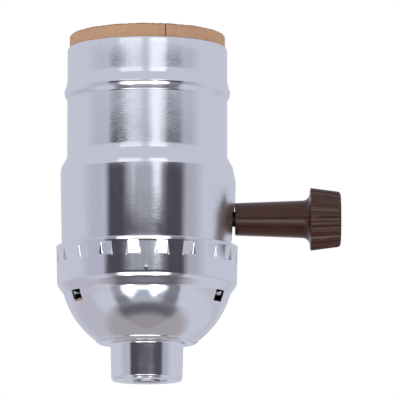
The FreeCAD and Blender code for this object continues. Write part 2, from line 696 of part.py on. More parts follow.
def terminal_recess(side, low, high, width):
    """A recess in the side of the body, down to the terminal's flat."""
    y = (s.body_flat, s.body_flat + FAR) if side > 0 else (-s.body_flat - FAR, -s.body_flat)
    return block((-width / 2, width / 2), y, (low, high))


def make_body_base():
    """Lower half of the moulded body, with the recesses and holes of both terminals."""
    hollows = body_hollows()
    depth = s.terminal_screw_end - s.seat_gap * 4
    for side in (1, -1):
        hollows.append(terminal_recess(side, 0, s.shaft_height, s.body_flat_width))
        low, high = (depth, s.body_flat + 1) if side > 0 else (-s.body_flat - 1, -depth)
        hole = rod(s.terminal_screw_radius + s.seat_gap, "y", low, high, z=s.terminal_screw_place)
        hollows.append(hole)
    strap = block(
        (-s.contact_width / 2 - s.seat_gap * 2, s.contact_width / 2 + s.seat_gap * 2),
        (-s.body_flat - 1, 0),
        (s.shaft_height - s.terminal_sheet, s.shaft_height),
    )
    hollows.append(strap)
    base = cut(half_body(s.body_low, s.shaft_height, []), hollows)
    finished(base, "body_base")


def make_body_top():
    """Upper half of the moulded body, with the raised seat of the centre contact and the neutral channel."""
    island = rod(s.island_radius, "z", s.body_high - 1, s.island_top)
    hollows = body_hollows()
    hollows.append(terminal_recess(1, 0, s.body_high, s.body_strap_width))
    half = s.contact_width / 2 + s.seat_gap * 2
    hollows.append(block(
        (-half, half),
        (s.leaf_place - s.seat_gap, s.leaf_place + s.contact_sheet + s.seat_gap),
        (s.shaft_height, s.island_top + 1),
    ))
    for x, y in rivet_places:
        head = s.rivet_head_radius + s.seat_gap * 2
        hollows.append(rod(head, "z", s.body_high - s.rivet_head_height - s.seat_gap, FAR, x=x, y=y))
    for side in (1, -1):
        end = s.floor_top - s.shell_screw_length - s.seat_gap * 4
        hole = rod(s.shell_screw_radius + s.seat_gap, "z", end, FAR, x=s.shell_screw_place * side)
        hollows.append(hole)
    hollows.append(rod(s.contact_rivet_radius + s.seat_gap, "z", s.body_high - 1, FAR, y=contact_rivet_y()))
    finished(cut(half_body(s.shaft_height, s.body_high, [island]), hollows), "body_top")


def make_body_rivets():
    """Two rivets through both halves of the body, with a head at each end."""
    rivets = []
    for x, y in rivet_places:
        low = s.body_low - s.rivet_head_height
        sunk = s.body_high - s.rivet_head_height
        rivets.append(joined([
            rod(s.rivet_radius, "z", low, s.body_high - s.seat_gap, x=x, y=y),
            rod(s.rivet_head_radius, "z", low, s.body_low, x=x, y=y),
            rod(s.rivet_head_radius, "z", sunk, s.body_high - s.seat_gap, x=x, y=y),
        ]))
    group = doc.addObject("Part::Compound", "rivets")
    group.Links = rivets
    finished(group, "body_rivets")


def thread_face(extra):
    """One side of the rolled thread's wall, as a surface that is closed round the axis.

    Its radius is the thread's, less half its depth times one minus the cosine of the angle from the crest.
    The crest climbs one pitch a turn, and the depth fades out over half a pitch at each end.
    """
    round_poles, rows = 24, 10
    pitch = s.thread_pitch.number
    low, high = s.floor_top.number, s.thread_top.number
    count = int(rows * (high - low) / pitch)
    knots = [low + (high - low) * index / count for index in range(count + 1)]
    padded = [low] * 3 + knots + [high] * 3
    heights = [sum(padded[index + 1:index + 4]) / 3 for index in range(count + 3)]
    swell = 3 / (2 + cos(2 * pi / round_poles))
    poles = []
    for step in range(round_poles):
        angle = 2 * pi * step / round_poles
        column = []
        for height in heights:
            fade = min(1.0, (height - low) / (pitch / 2), (high - height) / (pitch / 2))
            fade = fade * fade * (3 - 2 * fade)
            wave = 1 - cos(2 * pi * (height - low) / pitch - angle)
            radius = s.thread_radius.number + extra - s.thread_depth.number / 2 * wave * fade
            column.append(Vector(radius * swell * cos(angle), radius * swell * sin(angle), height))
        poles.append(column)
    surface = Part.BSplineSurface()
    surface.buildFromPolesMultsKnots(
        poles, [1] * (round_poles + 1), [4] + [1] * (count - 1) + [4],
        list(range(round_poles + 1)), knots, True, False, 3, 3,
    )
    return surface.toShape()


def thread_wall():
    """The threaded wall as a solid: its outer face, its inner face and a flat ring at each end."""
    outer, inner = thread_face(s.screw_shell_sheet.number), thread_face(0.0)
    rings = []
    for height in (s.floor_top.number, s.thread_top.number):
        loops = []
        for face in (outer, inner):
            level = [edge for edge in face.Edges if edge.BoundBox.ZLength < 0.001]
            loops += [Part.Wire(edge) for edge in level if abs(edge.BoundBox.ZMin - height) < 0.01]
        rings.append(Part.makeFace(loops, "Part::FaceMakerBullseye"))
    shell = Part.makeShell([outer, inner] + rings)
    shell.sewShape()
    wall = Part.makeSolid(shell)
    if wall.Volume < 0:
        wall.reverse()
    return wall


def make_screw_shell():
    """Rolled screw shell for the lamp: floor with its holes, threaded wall and a plain rolled lip."""
    up = Vector(0, 0, 1)
    low, floor = s.body_high.number, s.screw_shell_floor.number
    disc = Part.makeCylinder(s.screw_shell_floor_radius.number, floor, Vector(0, 0, low), up)
    holes = [Part.makeCylinder(s.screw_shell_hole.number, floor * 3, Vector(0, 0, low - floor), up)]
    for side in (1, -1):
        place = Vector(s.shell_screw_place.number * side, 0, low - floor)
        holes.append(Part.makeCylinder(s.shell_screw_radius.number + s.seat_gap.number, floor * 3, place, up))
    disc = disc.cut(holes)
    start = Vector(0, 0, s.thread_top.number)
    lip = Part.makeCylinder(s.lip_radius.number + s.lip_wall.number, s.lip_height.number, start, up)
    lip = lip.cut(Part.makeCylinder(s.lip_radius.number, s.lip_height.number, start, up))
    top = s.thread_top.number + s.lip_height.number
    edges = [edge for edge in lip.Edges if edge.Closed and abs(edge.BoundBox.ZMin - top) < 0.01]
    lip = lip.makeFillet(s.lip_edge_radius.number, edges)
    screw_shell = doc.addObject("Part::Feature", "screw_shell")
    screw_shell.Shape = thread_wall().fuse([disc, lip])
    screw_shell.Placement = Placement()
    finished(screw_shell, "screw_shell")


def make_shell_screws():
    """Two slotted screws that hold the screw shell's floor on the body."""
    screws = []
    for side in (1, -1):
        x = s.shell_screw_place * side
        top = s.floor_top + s.shell_screw_head_height
        stem = joined([
            rod(s.shell_screw_radius, "z", s.floor_top - s.shell_screw_length, s.floor_top, x=x),
            rod(s.shell_screw_head_radius, "z", s.floor_top, top, x=x),
        ])
        slot = block(
            (x - s.driver_slot / 2, x + s.driver_slot / 2),
            (-s.shell_screw_head_radius * 2, s.shell_screw_head_radius * 2),
            (top - s.driver_slot / 2, top + 1),
        )
        screws.append(cut(stem, [slot]))
    group = doc.addObject("Part::Compound", "screws")
    group.Links = screws
    finished(group, "shell_screws")


def contact_rivet_y():
    """How far the centre contact's rivet is from the axis: near the bend, clear of the tongue."""
    return s.leaf_place - s.contact_rivet_head - s.contact_sheet


def make_centre_contact():
    """Brass strip: the switch leaf, up through the body, over its seat and into a sprung tongue."""
    body = new_body("centre_contact")
    sheet, seat_top = s.contact_sheet, s.island_top
    bend = contact_rivet_y() - s.contact_rivet_head - sheet
    outer = s.leaf_place + sheet
    sketch = new_sketch(body, "YZ_Plane")
    crest = seat_top + s.contact_rise
    draw_outline(sketch, [
        (s.leaf_place, s.leaf_low),
        (outer, s.leaf_low),
        (outer, seat_top + sheet),
        (bend, seat_top + sheet),
        (-bend * 0.6, crest + sheet),
        (-bend * 1.2, crest + sheet),
        (-bend * 2.6, crest - sheet),
        (-bend * 2.6, crest - sheet * 2),
        (-bend * 1.2, crest),
        (-bend * 0.6, crest),
        (bend, seat_top),
        (s.leaf_place, seat_top),
    ])
    extrude(body, "Pad", sketch, s.contact_width)
    hole = new_sketch(body, "XY_Plane")
    draw_circle(hole, 0, contact_rivet_y(), s.contact_rivet_radius + s.seat_gap)
    extrude(body, "Pocket", hole, FAR * 3)


def make_contact_rivet():
    """Rivet that holds the centre contact on its seat."""
    y = contact_rivet_y()
    face = s.island_top + s.contact_sheet
    finished(joined([
        rod(s.contact_rivet_radius, "z", s.body_high, face, y=y),
        rod(s.contact_rivet_head, "z", face, face + s.contact_sheet * 1.5, y=y),
    ]), "contact_rivet")


def make_line_terminal():
    """Brass strip over the wall of the body: terminal plate outside, switch leaf inside."""
    half, leaf = s.terminal_width / 2, s.contact_width / 2
    top = s.shaft_height
    plate_y = (-s.terminal_face, -s.body_flat)
    plate = block((-half, half), plate_y, (s.terminal_low, top - s.terminal_sheet * 2))
    bridge = block((-leaf, leaf), (-s.terminal_face, -s.leaf_place), (top - s.terminal_sheet, top))
    tab = block((-leaf, leaf), (-s.terminal_face, -s.body_flat), (s.terminal_low, top))
    inner = block((-leaf, leaf), (-s.leaf_place - s.contact_sheet, -s.leaf_place), (s.leaf_low, top))
    hole = rod(s.terminal_screw_radius + s.seat_gap, "y", -FAR, -s.leaf_place - 1, z=s.terminal_screw_place)
    finished(cut(joined([plate, bridge, tab, inner]), [hole]), "line_terminal")


def make_neutral_terminal():
    """Plated strip: terminal plate, strap up the side of the body and a foot under the screw shell."""
    half, strap = s.terminal_width / 2, s.body_strap_width / 2 - s.seat_gap * 2
    y = (s.body_flat, s.terminal_face)
    top = s.body_high
    plate = block((-half, half), y, (s.terminal_low, s.shaft_height - s.terminal_sheet * 2))
    rise = block((-strap, strap), y, (s.terminal_low, top))
    foot_end = s.screw_shell_floor_radius - s.seat_gap
    foot = block((-strap, strap), (s.body_flat, foot_end), (top - s.terminal_sheet, top))
    hole = rod(s.terminal_screw_radius + s.seat_gap, "y", s.leaf_place + 1, FAR, z=s.terminal_screw_place)
    finished(cut(joined([plate, rise, foot]), [hole]), "neutral_terminal")


def make_terminal_screw(label, side):
    """Slotted binding screw that clamps a wire on a terminal plate."""
    z = s.terminal_screw_place
    end = s.terminal_screw_end
    face = s.terminal_face + s.terminal_head_height
    bottom = face - s.driver_slot

    def reach(near, far):
        return (near, far) if side > 0 else (-far, -near)

    stem = joined([
        rod(s.terminal_screw_radius, "y", *reach(end, s.terminal_face), z=z),
        rod(s.terminal_head_radius, "y", *reach(s.terminal_face, face), z=z),
    ])
    wide = s.terminal_head_radius * 2
    slot = block((-wide, wide), reach(bottom, face + 1), (z - s.driver_slot / 2, z + s.driver_slot / 2))
    finished(cut(stem, [slot]), label)


def make_switch_shaft():
    """Steel shaft: round in its bearings, square inside the drum and the cam, grooved for its clip."""
    square = s.shaft_square / 2
    reach = s.shaft_square_reach
    groove = cut(
        rod(s.shaft_radius + 1, "x", s.clip_place, s.clip_place + s.clip_thickness),
        [rod(s.clip_groove_radius, "x", s.clip_place - 1, s.clip_place + s.clip_thickness + 1)],
    )
    shaft = cut(joined([
        rod(s.shaft_radius, "x", -s.shaft_start, -reach),
        block((-reach, reach), (-square, square), (-square, square)),
        rod(s.shaft_radius, "x", reach, s.shaft_end),
    ]), [groove])
    finished(seat(shaft), "switch_shaft")


def square_hole():
    """The square hole that the shaft turns a piece by."""
    half = s.shaft_square / 2 + s.seat_gap
    return block((-s.shaft_square_reach, s.shaft_square_reach), (-half, half), (-half, half))


def bridge_slot(gap):
    """The space of the bridge across the drum, less the hub that it sits on."""
    low = s.bridge_place - s.bridge_sheet / 2 - gap
    high = s.bridge_place + s.bridge_sheet / 2 + gap
    half = s.bridge_width / 2 + gap
    bar = block((low, high), (-FAR, FAR), (-half, half))
    return cut(bar, [rod(s.rotor_hub_radius, "x", low - 1, high + 1)])


def make_switch_rotor():
    """Moulded drum that carries the bridge and insulates it from the shaft."""
    drum = rod(s.rotor_radius, "x", s.rotor_low, s.rotor_high)
    finished(seat(cut(drum, [bridge_slot(s.seat_gap), square_hole()])), "switch_rotor")


def make_bridge_contact():
    """Copper blade through the drum, which joins the two switch leaves."""
    reach = s.leaf_place - s.leaf_gap
    low = s.bridge_place - s.bridge_sheet / 2
    high = s.bridge_place + s.bridge_sheet / 2
    half = s.bridge_width / 2
    blade = block((low, high), (-reach, reach), (-half, half))
    hole = rod(s.rotor_hub_radius + s.seat_gap, "x", low - 1, high + 1)
    round_ends = doc.addObject("Part::Common", "blade")
    round_ends.Base = blade
    round_ends.Tool = rod(reach, "x", low - 1, high + 1)
    finished(seat(cut(round_ends, [hole])), "bridge_contact")


def make_detent_cam():
    """Notched wheel that gives the switch its quarter-turn stops."""
    body = new_body("detent_cam")
    seat(body)
    wheel = new_sketch(body, "YZ_Plane", lift=s.cam_low)
    draw_circle(wheel, 0, 0, s.cam_radius)
    extrude(body, "Pad", wheel, s.cam_thickness, side="One side")
    notch = new_sketch(body, "YZ_Plane", lift=s.cam_low)
    draw_circle(notch, 0, -s.cam_radius - s.cam_notch_radius / 4, s.cam_notch_radius)
    hollow = extrude(body, "Pocket", notch, s.cam_thickness * 3)
    repeat(body, [hollow], "X_Axis", s.cam_notches)
    square = new_sketch(body, "YZ_Plane", lift=s.cam_low)
    half = s.shaft_square / 2 + s.seat_gap
    draw_outline(square, [(half, -half), (half, half), (-half, half), (-half, -half)])
    extrude(body, "Pocket", square, s.cam_thickness * 3)


def make_detent_spring():
    """Bowed leaf spring on the chamber's floor, its crown under the cam."""
    body = new_body("detent_spring")
    crown = s.shaft_height - s.cam_radius - s.detent_gap
    sheet, reach, floor = s.detent_sheet, s.detent_reach, s.cavity_low
    foot, knee = reach * 0.8, reach * 0.15
    sketch = new_sketch(body, "YZ_Plane", lift=s.cam_low + s.seat_gap * 4)
    draw_outline(sketch, [
        (reach, floor),
        (reach, floor + sheet),
        (foot, floor + sheet),
        (knee, crown),
        (-knee, crown),
        (-foot, floor + sheet),
        (-reach, floor + sheet),
        (-reach, floor),
        (-foot - sheet / 2, floor),
        (-knee - sheet / 2, crown - sheet),
        (knee + sheet / 2, crown - sheet),
        (foot + sheet / 2, floor),
    ][::-1])
    extrude(body, "Pad", sketch, s.cam_thickness - s.seat_gap * 8, side="One side")


def make_shaft_clip():
    """Open ring in the shaft's groove, which keeps the shaft in the body."""
    low, high = s.clip_place + s.seat_gap, s.clip_place + s.clip_thickness - s.seat_gap
    ring = rod(s.clip_radius, "x", low, high)
    hole = rod(s.clip_groove_radius + s.seat_gap, "x", low - 1, high + 1)
    half = s.clip_groove_radius * 0.85
    mouth = block((low - 1, high + 1), (-half, half), (0, s.clip_radius + 1))
    finished(seat(cut(ring, [hole, mouth])), "shaft_clip")


def make_knob():
    """Moulded knob: tapered shank, hollow flare and a fluted head that narrows towards its rounded end."""
    body = new_body("knob")
    seat(body)
    bore = s.shaft_radius + s.seat_gap / 2
    flare_end = s.knob_neck_radius + s.knob_flare_radius
    flare_place = s.knob_neck_place + s.knob_flare_radius
    edge = s.knob_edge_radius
    bevel = s.seat_gap * 5
    revolve(body, [
        (s.knob_start, bore),
        (s.knob_bore_end, bore),
        (s.knob_bore_end + bore, 0),
        (s.knob_end, 0),
        (s.knob_end, s.knob_head_end_radius - edge),
        (s.knob_end - edge, s.knob_head_end_radius, s.knob_end - edge, s.knob_head_end_radius - edge, 1),
        (s.knob_head_start, s.knob_head_radius),
        (flare_place, flare_end),
        (s.knob_neck_place, s.knob_neck_radius, s.knob_neck_place, flare_end, -1),
        (s.knob_start + bevel, s.knob_shank_radius),
        (s.knob_start, s.knob_shank_radius - bevel),
    ], axis="H_Axis")
    fall = s.knob_head_radius - s.knob_head_end_radius
    run = s.knob_end - edge - s.knob_head_start
    tilt = -atan2(fall.number, run.number) * 180 / pi
    axis_height = s.knob_head_radius + s.knob_flute_radius - s.knob_flute_depth
    flute = new_sketch(body, "YZ_Plane", lift=s.knob_head_start, tilt=tilt)
    drive(flute, "AttachmentOffset.Base.y", axis_height)
    draw_circle(flute, 0, 0, s.knob_flute_radius)
    hollow = extrude(body, "Pocket", flute, FAR)
    repeat(body, [hollow], "X_Axis", s.knob_flutes)


def make_all():
    """Make every sub-part."""
    make_bushing()
    make_set_screw()
    make_cap()
    make_cap_insulator()
    make_outer_shell()
    make_insulating_liner()
    make_body_base()
    make_body_top()
    make_body_rivets()
    make_screw_shell()
    make_shell_screws()
    make_centre_contact()
    make_contact_rivet()
    make_line_terminal()
    make_terminal_screw("line_screw", -1)
    make_neutral_terminal()
    make_terminal_screw("neutral_screw", 1)
    make_switch_shaft()
    make_switch_rotor()
    make_bridge_contact()
    make_detent_cam()
    make_detent_spring()
    make_shaft_clip()
    make_knob()


def check():
    """Stop unless every object of the document worked out and every sub-part is a sound solid."""
    for thing in doc.Objects:
        if "Invalid" in thing.State or "Error" in thing.State:
            raise RuntimeError(f"{thing.Label} did not work out: {thing.State}")
        pocket = thing.TypeId == "PartDesign::Pocket"
        if pocket and thing.Shape.Volume > thing.BaseFeature.Shape.Volume - 0.001:
            raise RuntimeError(f"{thing.Label} cuts nothing")
    for part in parts:
        if part.Shape.isNull() or not part.Shape.isValid() or not part.Shape.Solids:
            raise RuntimeError(f"{part.Label} is not a sound solid")


def export():
    """Write one STEP file for each sub-part."""
    os.makedirs("parts", exist_ok=True)
    for part in parts:
        part.Shape.exportStep(f"parts/{part.Label}.step")
        box = part.Shape.BoundBox
        print(f"{part.Label}: {len(part.Shape.Solids)} solid, {part.Shape.Volume:.1f} mm3, "
              f"z {box.ZMin:.2f} to {box.ZMax:.2f}")


make_all()
doc.recompute()
check()
export()
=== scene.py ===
"""Turn-knob lamp holder: the finished surfaces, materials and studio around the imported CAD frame.

The lamp axis is Z, the switch shaft points along +X and the front is -Y. All lengths are in metres.
"""

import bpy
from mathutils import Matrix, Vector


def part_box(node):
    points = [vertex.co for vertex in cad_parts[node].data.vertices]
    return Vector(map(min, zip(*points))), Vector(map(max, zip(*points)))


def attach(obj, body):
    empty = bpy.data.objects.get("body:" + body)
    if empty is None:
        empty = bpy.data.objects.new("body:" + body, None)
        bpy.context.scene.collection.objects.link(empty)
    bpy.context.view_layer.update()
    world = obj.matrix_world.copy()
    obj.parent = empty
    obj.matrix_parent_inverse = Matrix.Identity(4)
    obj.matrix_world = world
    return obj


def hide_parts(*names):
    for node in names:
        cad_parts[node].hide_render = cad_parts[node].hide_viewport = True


bl_info = {
    "name": "Lamp holder finish",
    "version": (1, 0, 0),
    "blender": (4, 5, 0),
    "location": "View3D > Sidebar > Lamp holder",
    "description": "Builds the finished pieces of a turn-knob lamp holder and its studio",
    "category": "Object",
}

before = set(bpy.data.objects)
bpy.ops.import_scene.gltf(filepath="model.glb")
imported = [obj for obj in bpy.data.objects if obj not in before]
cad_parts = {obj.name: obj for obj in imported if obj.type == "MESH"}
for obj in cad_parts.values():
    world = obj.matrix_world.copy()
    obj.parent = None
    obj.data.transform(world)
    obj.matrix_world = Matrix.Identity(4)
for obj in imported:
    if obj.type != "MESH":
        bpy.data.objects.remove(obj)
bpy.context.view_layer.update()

from math import asin, ceil, cos, degrees, pi, radians, sin, sqrt

import bpy
import numpy as np
from bpy.props import FloatProperty, FloatVectorProperty, IntProperty, PointerProperty
from mathutils import Vector

MM = 0.001
WHITE = (1.0, 1.0, 1.0, 1.0)
PATH_STEP = 0.02 * MM  # spacing of the points in a finely drawn profile
FRONT = -pi / 2  # the direction of -Y, as an angle round the lamp axis
BACK = pi / 2
SLOT_FACING = 0.6  # the stem's slot lies within this angle of +X
HOLE_FACING = 1.2  # the set screw's hole lies within this angle of the back


def tone(red, green, blue):
    """A display colour, given as 0 to 255, as the linear colour that a shader takes."""
    levels = np.array([red, green, blue]) / 255.0
    linear = np.where(levels > 0.04045, ((levels + 0.055) / 1.055) ** 2.4, levels / 12.92)
    return (*[float(level) for level in linear], 1.0)


def length(name, description, default):
    """A length that a user may set."""
    return FloatProperty(name=name, description=description, default=default, min=0.0, precision=5,
                         subtype="DISTANCE", unit="LENGTH")


def colour(name, description, default):
    """A colour that a user may set."""
    return FloatVectorProperty(name=name, description=description, default=default, size=4, min=0.0,
                               max=1.0, subtype="COLOR")


def share(name, description, default, high=1.0):
    """A plain number that a user may set."""
    return FloatProperty(name=name, description=description, default=default, min=0.0, max=high)


# Profiles, rows and columns


def run(start, end):
    """Points along a straight run of a profile, from its start up to but without its end."""
    count = max(2, int(np.hypot(*np.subtract(end, start)) / PATH_STEP))
    return np.linspace(start, end, count, endpoint=False)


def bend(centre, radius, first, last):
    """Points along an arc of a profile, between two angles in degrees, without its end."""
    count = max(2, int(abs(radians(last - first)) * radius / PATH_STEP))
    angles = np.radians(np.linspace(first, last, count, endpoint=False))
    return np.array(centre) + radius * np.stack([np.cos(angles), np.sin(angles)], axis=-1)


def corners(*places):
    """A profile of straight runs through the given places, without the last place."""
    return np.concatenate([run(start, end) for start, end in zip(places, places[1:])])


def softened(path, softness):
    """Round the corners of a fine path.

    Each point becomes the mean of its neighbours along the path, weighted by a bell curve of the given width.
    The path is carried on past its ends by turning it half round about them, so the ends stay in place.
    """
    reach = int(softness * 3 / PATH_STEP)
    steps = np.arange(-reach, reach + 1) * PATH_STEP
    bell = np.exp(-0.5 * (steps / softness) ** 2)
    bell /= bell.sum()
    before = 2 * path[0] - path[reach:0:-1]
    beyond = 2 * path[-1] - path[-2:-reach - 2:-1]
    longer = np.concatenate([before, path, beyond])
    return np.stack([np.convolve(longer[:, side], bell, mode="valid") for side in (0, 1)], axis=-1)


def outward(path):
    """Unit normals of a fine path, to the right of the way it runs."""
    slope = np.gradient(path, axis=0)
    slope /= np.hypot(slope[:, 0], slope[:, 1])[:, None]
    return np.stack([slope[:, 1], -slope[:, 0]], axis=-1)


def row_places(path, step, turn=radians(9), finer=()):
    """Places of the rows along a fine path, as fractional indices into it.

    A row follows after each step of length or each turn of direction, whichever comes first. finer holds
    stretches of height with a smaller step: (low, high, step).
    """
    delta = np.diff(path, axis=0)
    lengths = np.hypot(delta[:, 0], delta[:, 1])
    heading = np.unwrap(np.arctan2(delta[:, 1], delta[:, 0]))
    weight = lengths / step + np.abs(np.diff(heading, prepend=heading[0])) / turn
    middle = middles(path[:, 1])
    for low, high, small in finer:
        weight += np.where((middle > low) & (middle < high), lengths / small, 0)
    total = np.concatenate([[0], np.cumsum(weight)])
    count = int(ceil(total[-1])) + 1
    return np.interp(np.linspace(0, total[-1], count), total, np.arange(len(path)))


def moved_onto(values, targets):
    """Move the value nearest to each target exactly onto it."""
    values = values.copy()
    for target in targets:
        values[np.argmin(np.abs(values - target))] = target
    return values


def middles(values):
    """What lies halfway between each value and the next."""
    return (values[1:] + values[:-1]) / 2


def at_height(path, height):
    """Where a fine path first reaches a height, as an index into it."""
    return float(np.argmax(path[:, 1] >= height))


def picked(fine, places):
    """Values of a fine path at fractional indices."""
    index = np.arange(len(fine))
    return np.stack([np.interp(places, index, fine[:, side]) for side in (0, 1)], axis=-1)


def around(count, places=(), width=0.1, extra=0.0):
    """Angles once round an axis, anticlockwise, closer together near the given ones.

    They stand at equal steps of a running total, whose rate is one plus a bell curve at each given angle.
    """
    fine = np.linspace(-pi, pi, 20001)
    density = np.ones_like(fine)
    for place in places:
        away = (fine - place + pi) % (2 * pi) - pi
        density += extra * np.exp(-(away / width) ** 2)
    total = np.concatenate([[0], np.cumsum(middles(density))])
    return np.interp(np.arange(count) * total[-1] / count, total, fine)


def angle_between(angles, place):
    """Signed difference between angles and a place round the axis, from minus pi to pi."""
    return (angles - place + pi) % (2 * pi) - pi


def column_middles(angles):
    """Angles halfway between each column and the next one round the axis."""
    return angles + angle_between(np.roll(angles, -1), angles) / 2


def smooth_step(value, low, high):
    """Rises from 0 at low to 1 at high, level at both ends."""
    share_of_way = np.clip((value - low) / (high - low), 0, 1)
    return share_of_way * share_of_way * (3 - 2 * share_of_way)


def within(value, low, high, fade):
    """1 between two limits and 0 outside them, with a smooth rise and fall just inside both."""
    return smooth_step(value, low, low + fade) * (1 - smooth_step(value, high - fade, high))


def lathe(radius, height, angles):
    """Points of a surface turned about Z. Radius, height and angle may change with the row and the column."""
    radius, height, angles = np.broadcast_arrays(radius, height, angles)
    return np.stack([radius * np.cos(angles), radius * np.sin(angles), height], axis=-1)


def along_shaft(points):
    """Turn points made about Z so that they stand about the switch shaft's axis, +Z becoming +X."""
    return np.stack([points[..., 2], points[..., 1], SHAFT_Z - points[..., 0]], axis=-1)


# Meshes


def make_piece(name, points, faces, ends=(), sharp=radians(40)):
    """Put points and faces into a new object at the origin, shaded smooth up to an angle."""
    used, index = np.unique(faces, return_inverse=True)
    lists = index.reshape(faces.shape).tolist()
    place_of = {int(old): new for new, old in enumerate(used)}
    lists += [[place_of[int(corner)] for corner in ring] for ring in ends]
    mesh = bpy.data.meshes.new(name)
    mesh.from_pydata(points[used], [], lists)
    mesh.shade_smooth()
    mesh.set_sharp_from_angle(angle=sharp)
    mesh.validate()
    piece = bpy.data.objects.new(name, mesh)
    bpy.context.scene.collection.objects.link(piece)
    return piece


def grid_faces(rows, columns):
    """Faces of a grid that is closed round.

    They look outwards where the columns run anticlockwise and the rows up.
    """
    row = np.arange(rows - 1)[:, None] * columns
    column = np.arange(columns)[None, :]
    following = (column + 1) % columns
    sides = [row + column, row + following, row + columns + following, row + columns + column]
    return np.stack(np.broadcast_arrays(*sides), axis=-1)


def sheet_piece(name, outer, inner, kept=None, **shading):
    """A closed sheet between an outer and an inner surface.

    Both are grids of the same size. The inner one has the same faces turned round, and each edge of the kept
    faces that only one of them uses gets a face across the thickness of the sheet.
    """
    rows, columns = outer.shape[:2]
    count = rows * columns
    front = grid_faces(rows, columns)
    front = front.reshape(-1, 4) if kept is None else front[kept]
    back = front[:, ::-1] + count
    edges = np.concatenate([front[:, [side, (side + 1) % 4]] for side in range(4)])
    forward = edges[:, 0] * count + edges[:, 1]
    backward = edges[:, 1] * count + edges[:, 0]
    border = edges[~np.isin(forward, backward)]
    walls = np.stack([border[:, 1], border[:, 0], border[:, 0] + count, border[:, 1] + count], axis=-1)
    points = np.concatenate([outer.reshape(-1, 3), inner.reshape(-1, 3)])
    return make_piece(name, points, np.concatenate([front, back, walls]), **shading)


def solid_piece(name, rings, **shading):
    """A closed solid of rings of points, with a flat face over the first and over the last ring."""
    rows, columns = rings.shape[:2]
    faces = grid_faces(rows, columns).reshape(-1, 4)
    first = list(range(columns))[::-1]
    last = list(range((rows - 1) * columns, rows * columns))
    return make_piece(name, rings.reshape(-1, 3), faces, ends=(first, last), **shading)


def round_corners(x, z, radius):
    """Pull the corners of a square of half width radius onto the circle inside it.

    A point on the square's edge goes straight towards the middle until it is on the circle, and points
    further out follow by a share that fades to nothing at one and a half times the radius.
    """
    reach = np.maximum(np.abs(x), np.abs(z))
    straight = np.maximum(np.hypot(x, z), 1e-9)
    fade = np.clip((reach / radius - 1) * 2, 0, 1)
    pull = 1 - (1 - fade) * (1 - np.minimum(reach / straight, 1))
    return x * pull, z * pull


def round_hole(points, facing, across, out, height, radius):
    """Round the corners of a square hole in a tube's surface, for the points that facing marks.

    across and out are the numbers of the coordinates that run across the hole and out through it.
    """
    distance = np.hypot(points[..., across], points[..., out])
    side, up = round_corners(points[..., across], points[..., 2] - height, radius)
    points[..., across] = np.where(facing, side, points[..., across])
    points[..., 2] = np.where(facing, up + height, points[..., 2])
    lifted = np.sqrt(np.maximum(distance ** 2 - points[..., across] ** 2, 0))
    points[..., out] = np.where(facing, lifted, points[..., out])


def round_slot(points, angles, radius):
    """Round the top of the stem's slot in a tube's surface, on the side that faces +X."""
    facing = (np.abs(angles) < SLOT_FACING)[None, :] & (points[..., 2] > SHAFT_Z)
    round_hole(points, facing, 1, 0, SHAFT_Z, radius)
    return points


# Long waves of an uneven sheet: strength, number round the axis, radians for each metre up and start
WAVES = ((1.0, 3, 210, 0.0), (1.0, 7, -330, 1.3), (0.6, 13, 520, 0.4), (0.5, 5, 900, 0.0))


def ripple(angles, heights, depth):
    """Slight unevenness of a drawn sheet, in metres."""
    waves = sum(part * np.sin(count * angles + heights * rate + start) for part, count, rate, start in WAVES)
    return depth * waves / 3


# Shader trees


class Tree:
    """Short calls that add nodes to a shader tree and link them."""

    def __init__(self, tree):
        self.tree = tree

    def feed(self, socket, value):
        """Link a socket to another one, or set its value."""
        if isinstance(value, bpy.types.NodeSocket):
            self.tree.links.new(value, socket)
        elif value is not None:
            socket.default_value = value

    def node(self, kind, inputs=None, **settings):
        """Add a node with its settings and its inputs, which are given by name or by number."""
        made = self.tree.nodes.new(f"ShaderNode{kind}")
        for key, value in settings.items():
            setattr(made, key, value)
        for key, value in (inputs or {}).items():
            self.feed(made.inputs[key], value)
        return made

    def find(self, kind):
        """A node that the tree came with."""
        return next(node for node in self.tree.nodes if node.type == kind)

    def sum(self, operation, first, second=None, third=None):
        """One step of arithmetic."""
        return self.node("Math", {0: first, 1: second, 2: third}, operation=operation).outputs[0]

    def mixed(self, share_of_second, first, second):
        """A mix of two colours."""
        mix = self.node("Mix", {0: share_of_second, 6: first, 7: second}, data_type="RGBA")
        return mix.outputs[2]

    def between(self, value, low, high, to_low=0.0, to_high=1.0):
        """A value carried smoothly from one range to another, and held at its ends."""
        sockets = {"Value": value, "From Min": low, "From Max": high, "To Min": to_low, "To Max": to_high}
        return self.node("MapRange", sockets, interpolation_type="SMOOTHSTEP").outputs[0]

    def group(self, name, **inputs):
        """Place a shared effect with its own values."""
        made = self.node("Group", node_tree=bpy.data.node_groups[name])
        for key, value in inputs.items():
            self.feed(made.inputs[key.replace("_", " ")], value)
        return made


def new_group(name, inputs, outputs):
    """An empty shared effect with named inputs (name: kind, default) and outputs (name: kind)."""
    group = bpy.data.node_groups.new(name, "ShaderNodeTree")
    for key, (kind, default) in inputs.items():
        socket = group.interface.new_socket(name=key, in_out="INPUT", socket_type=f"NodeSocket{kind}")
        if default is not None:
            socket.default_value = default
    for key, kind in outputs.items():
        group.interface.new_socket(name=key, in_out="OUTPUT", socket_type=f"NodeSocket{kind}")
    tree = Tree(group)
    entry = group.nodes.new("NodeGroupInput")
    leave = group.nodes.new("NodeGroupOutput")
    return tree, entry.outputs, leave.inputs


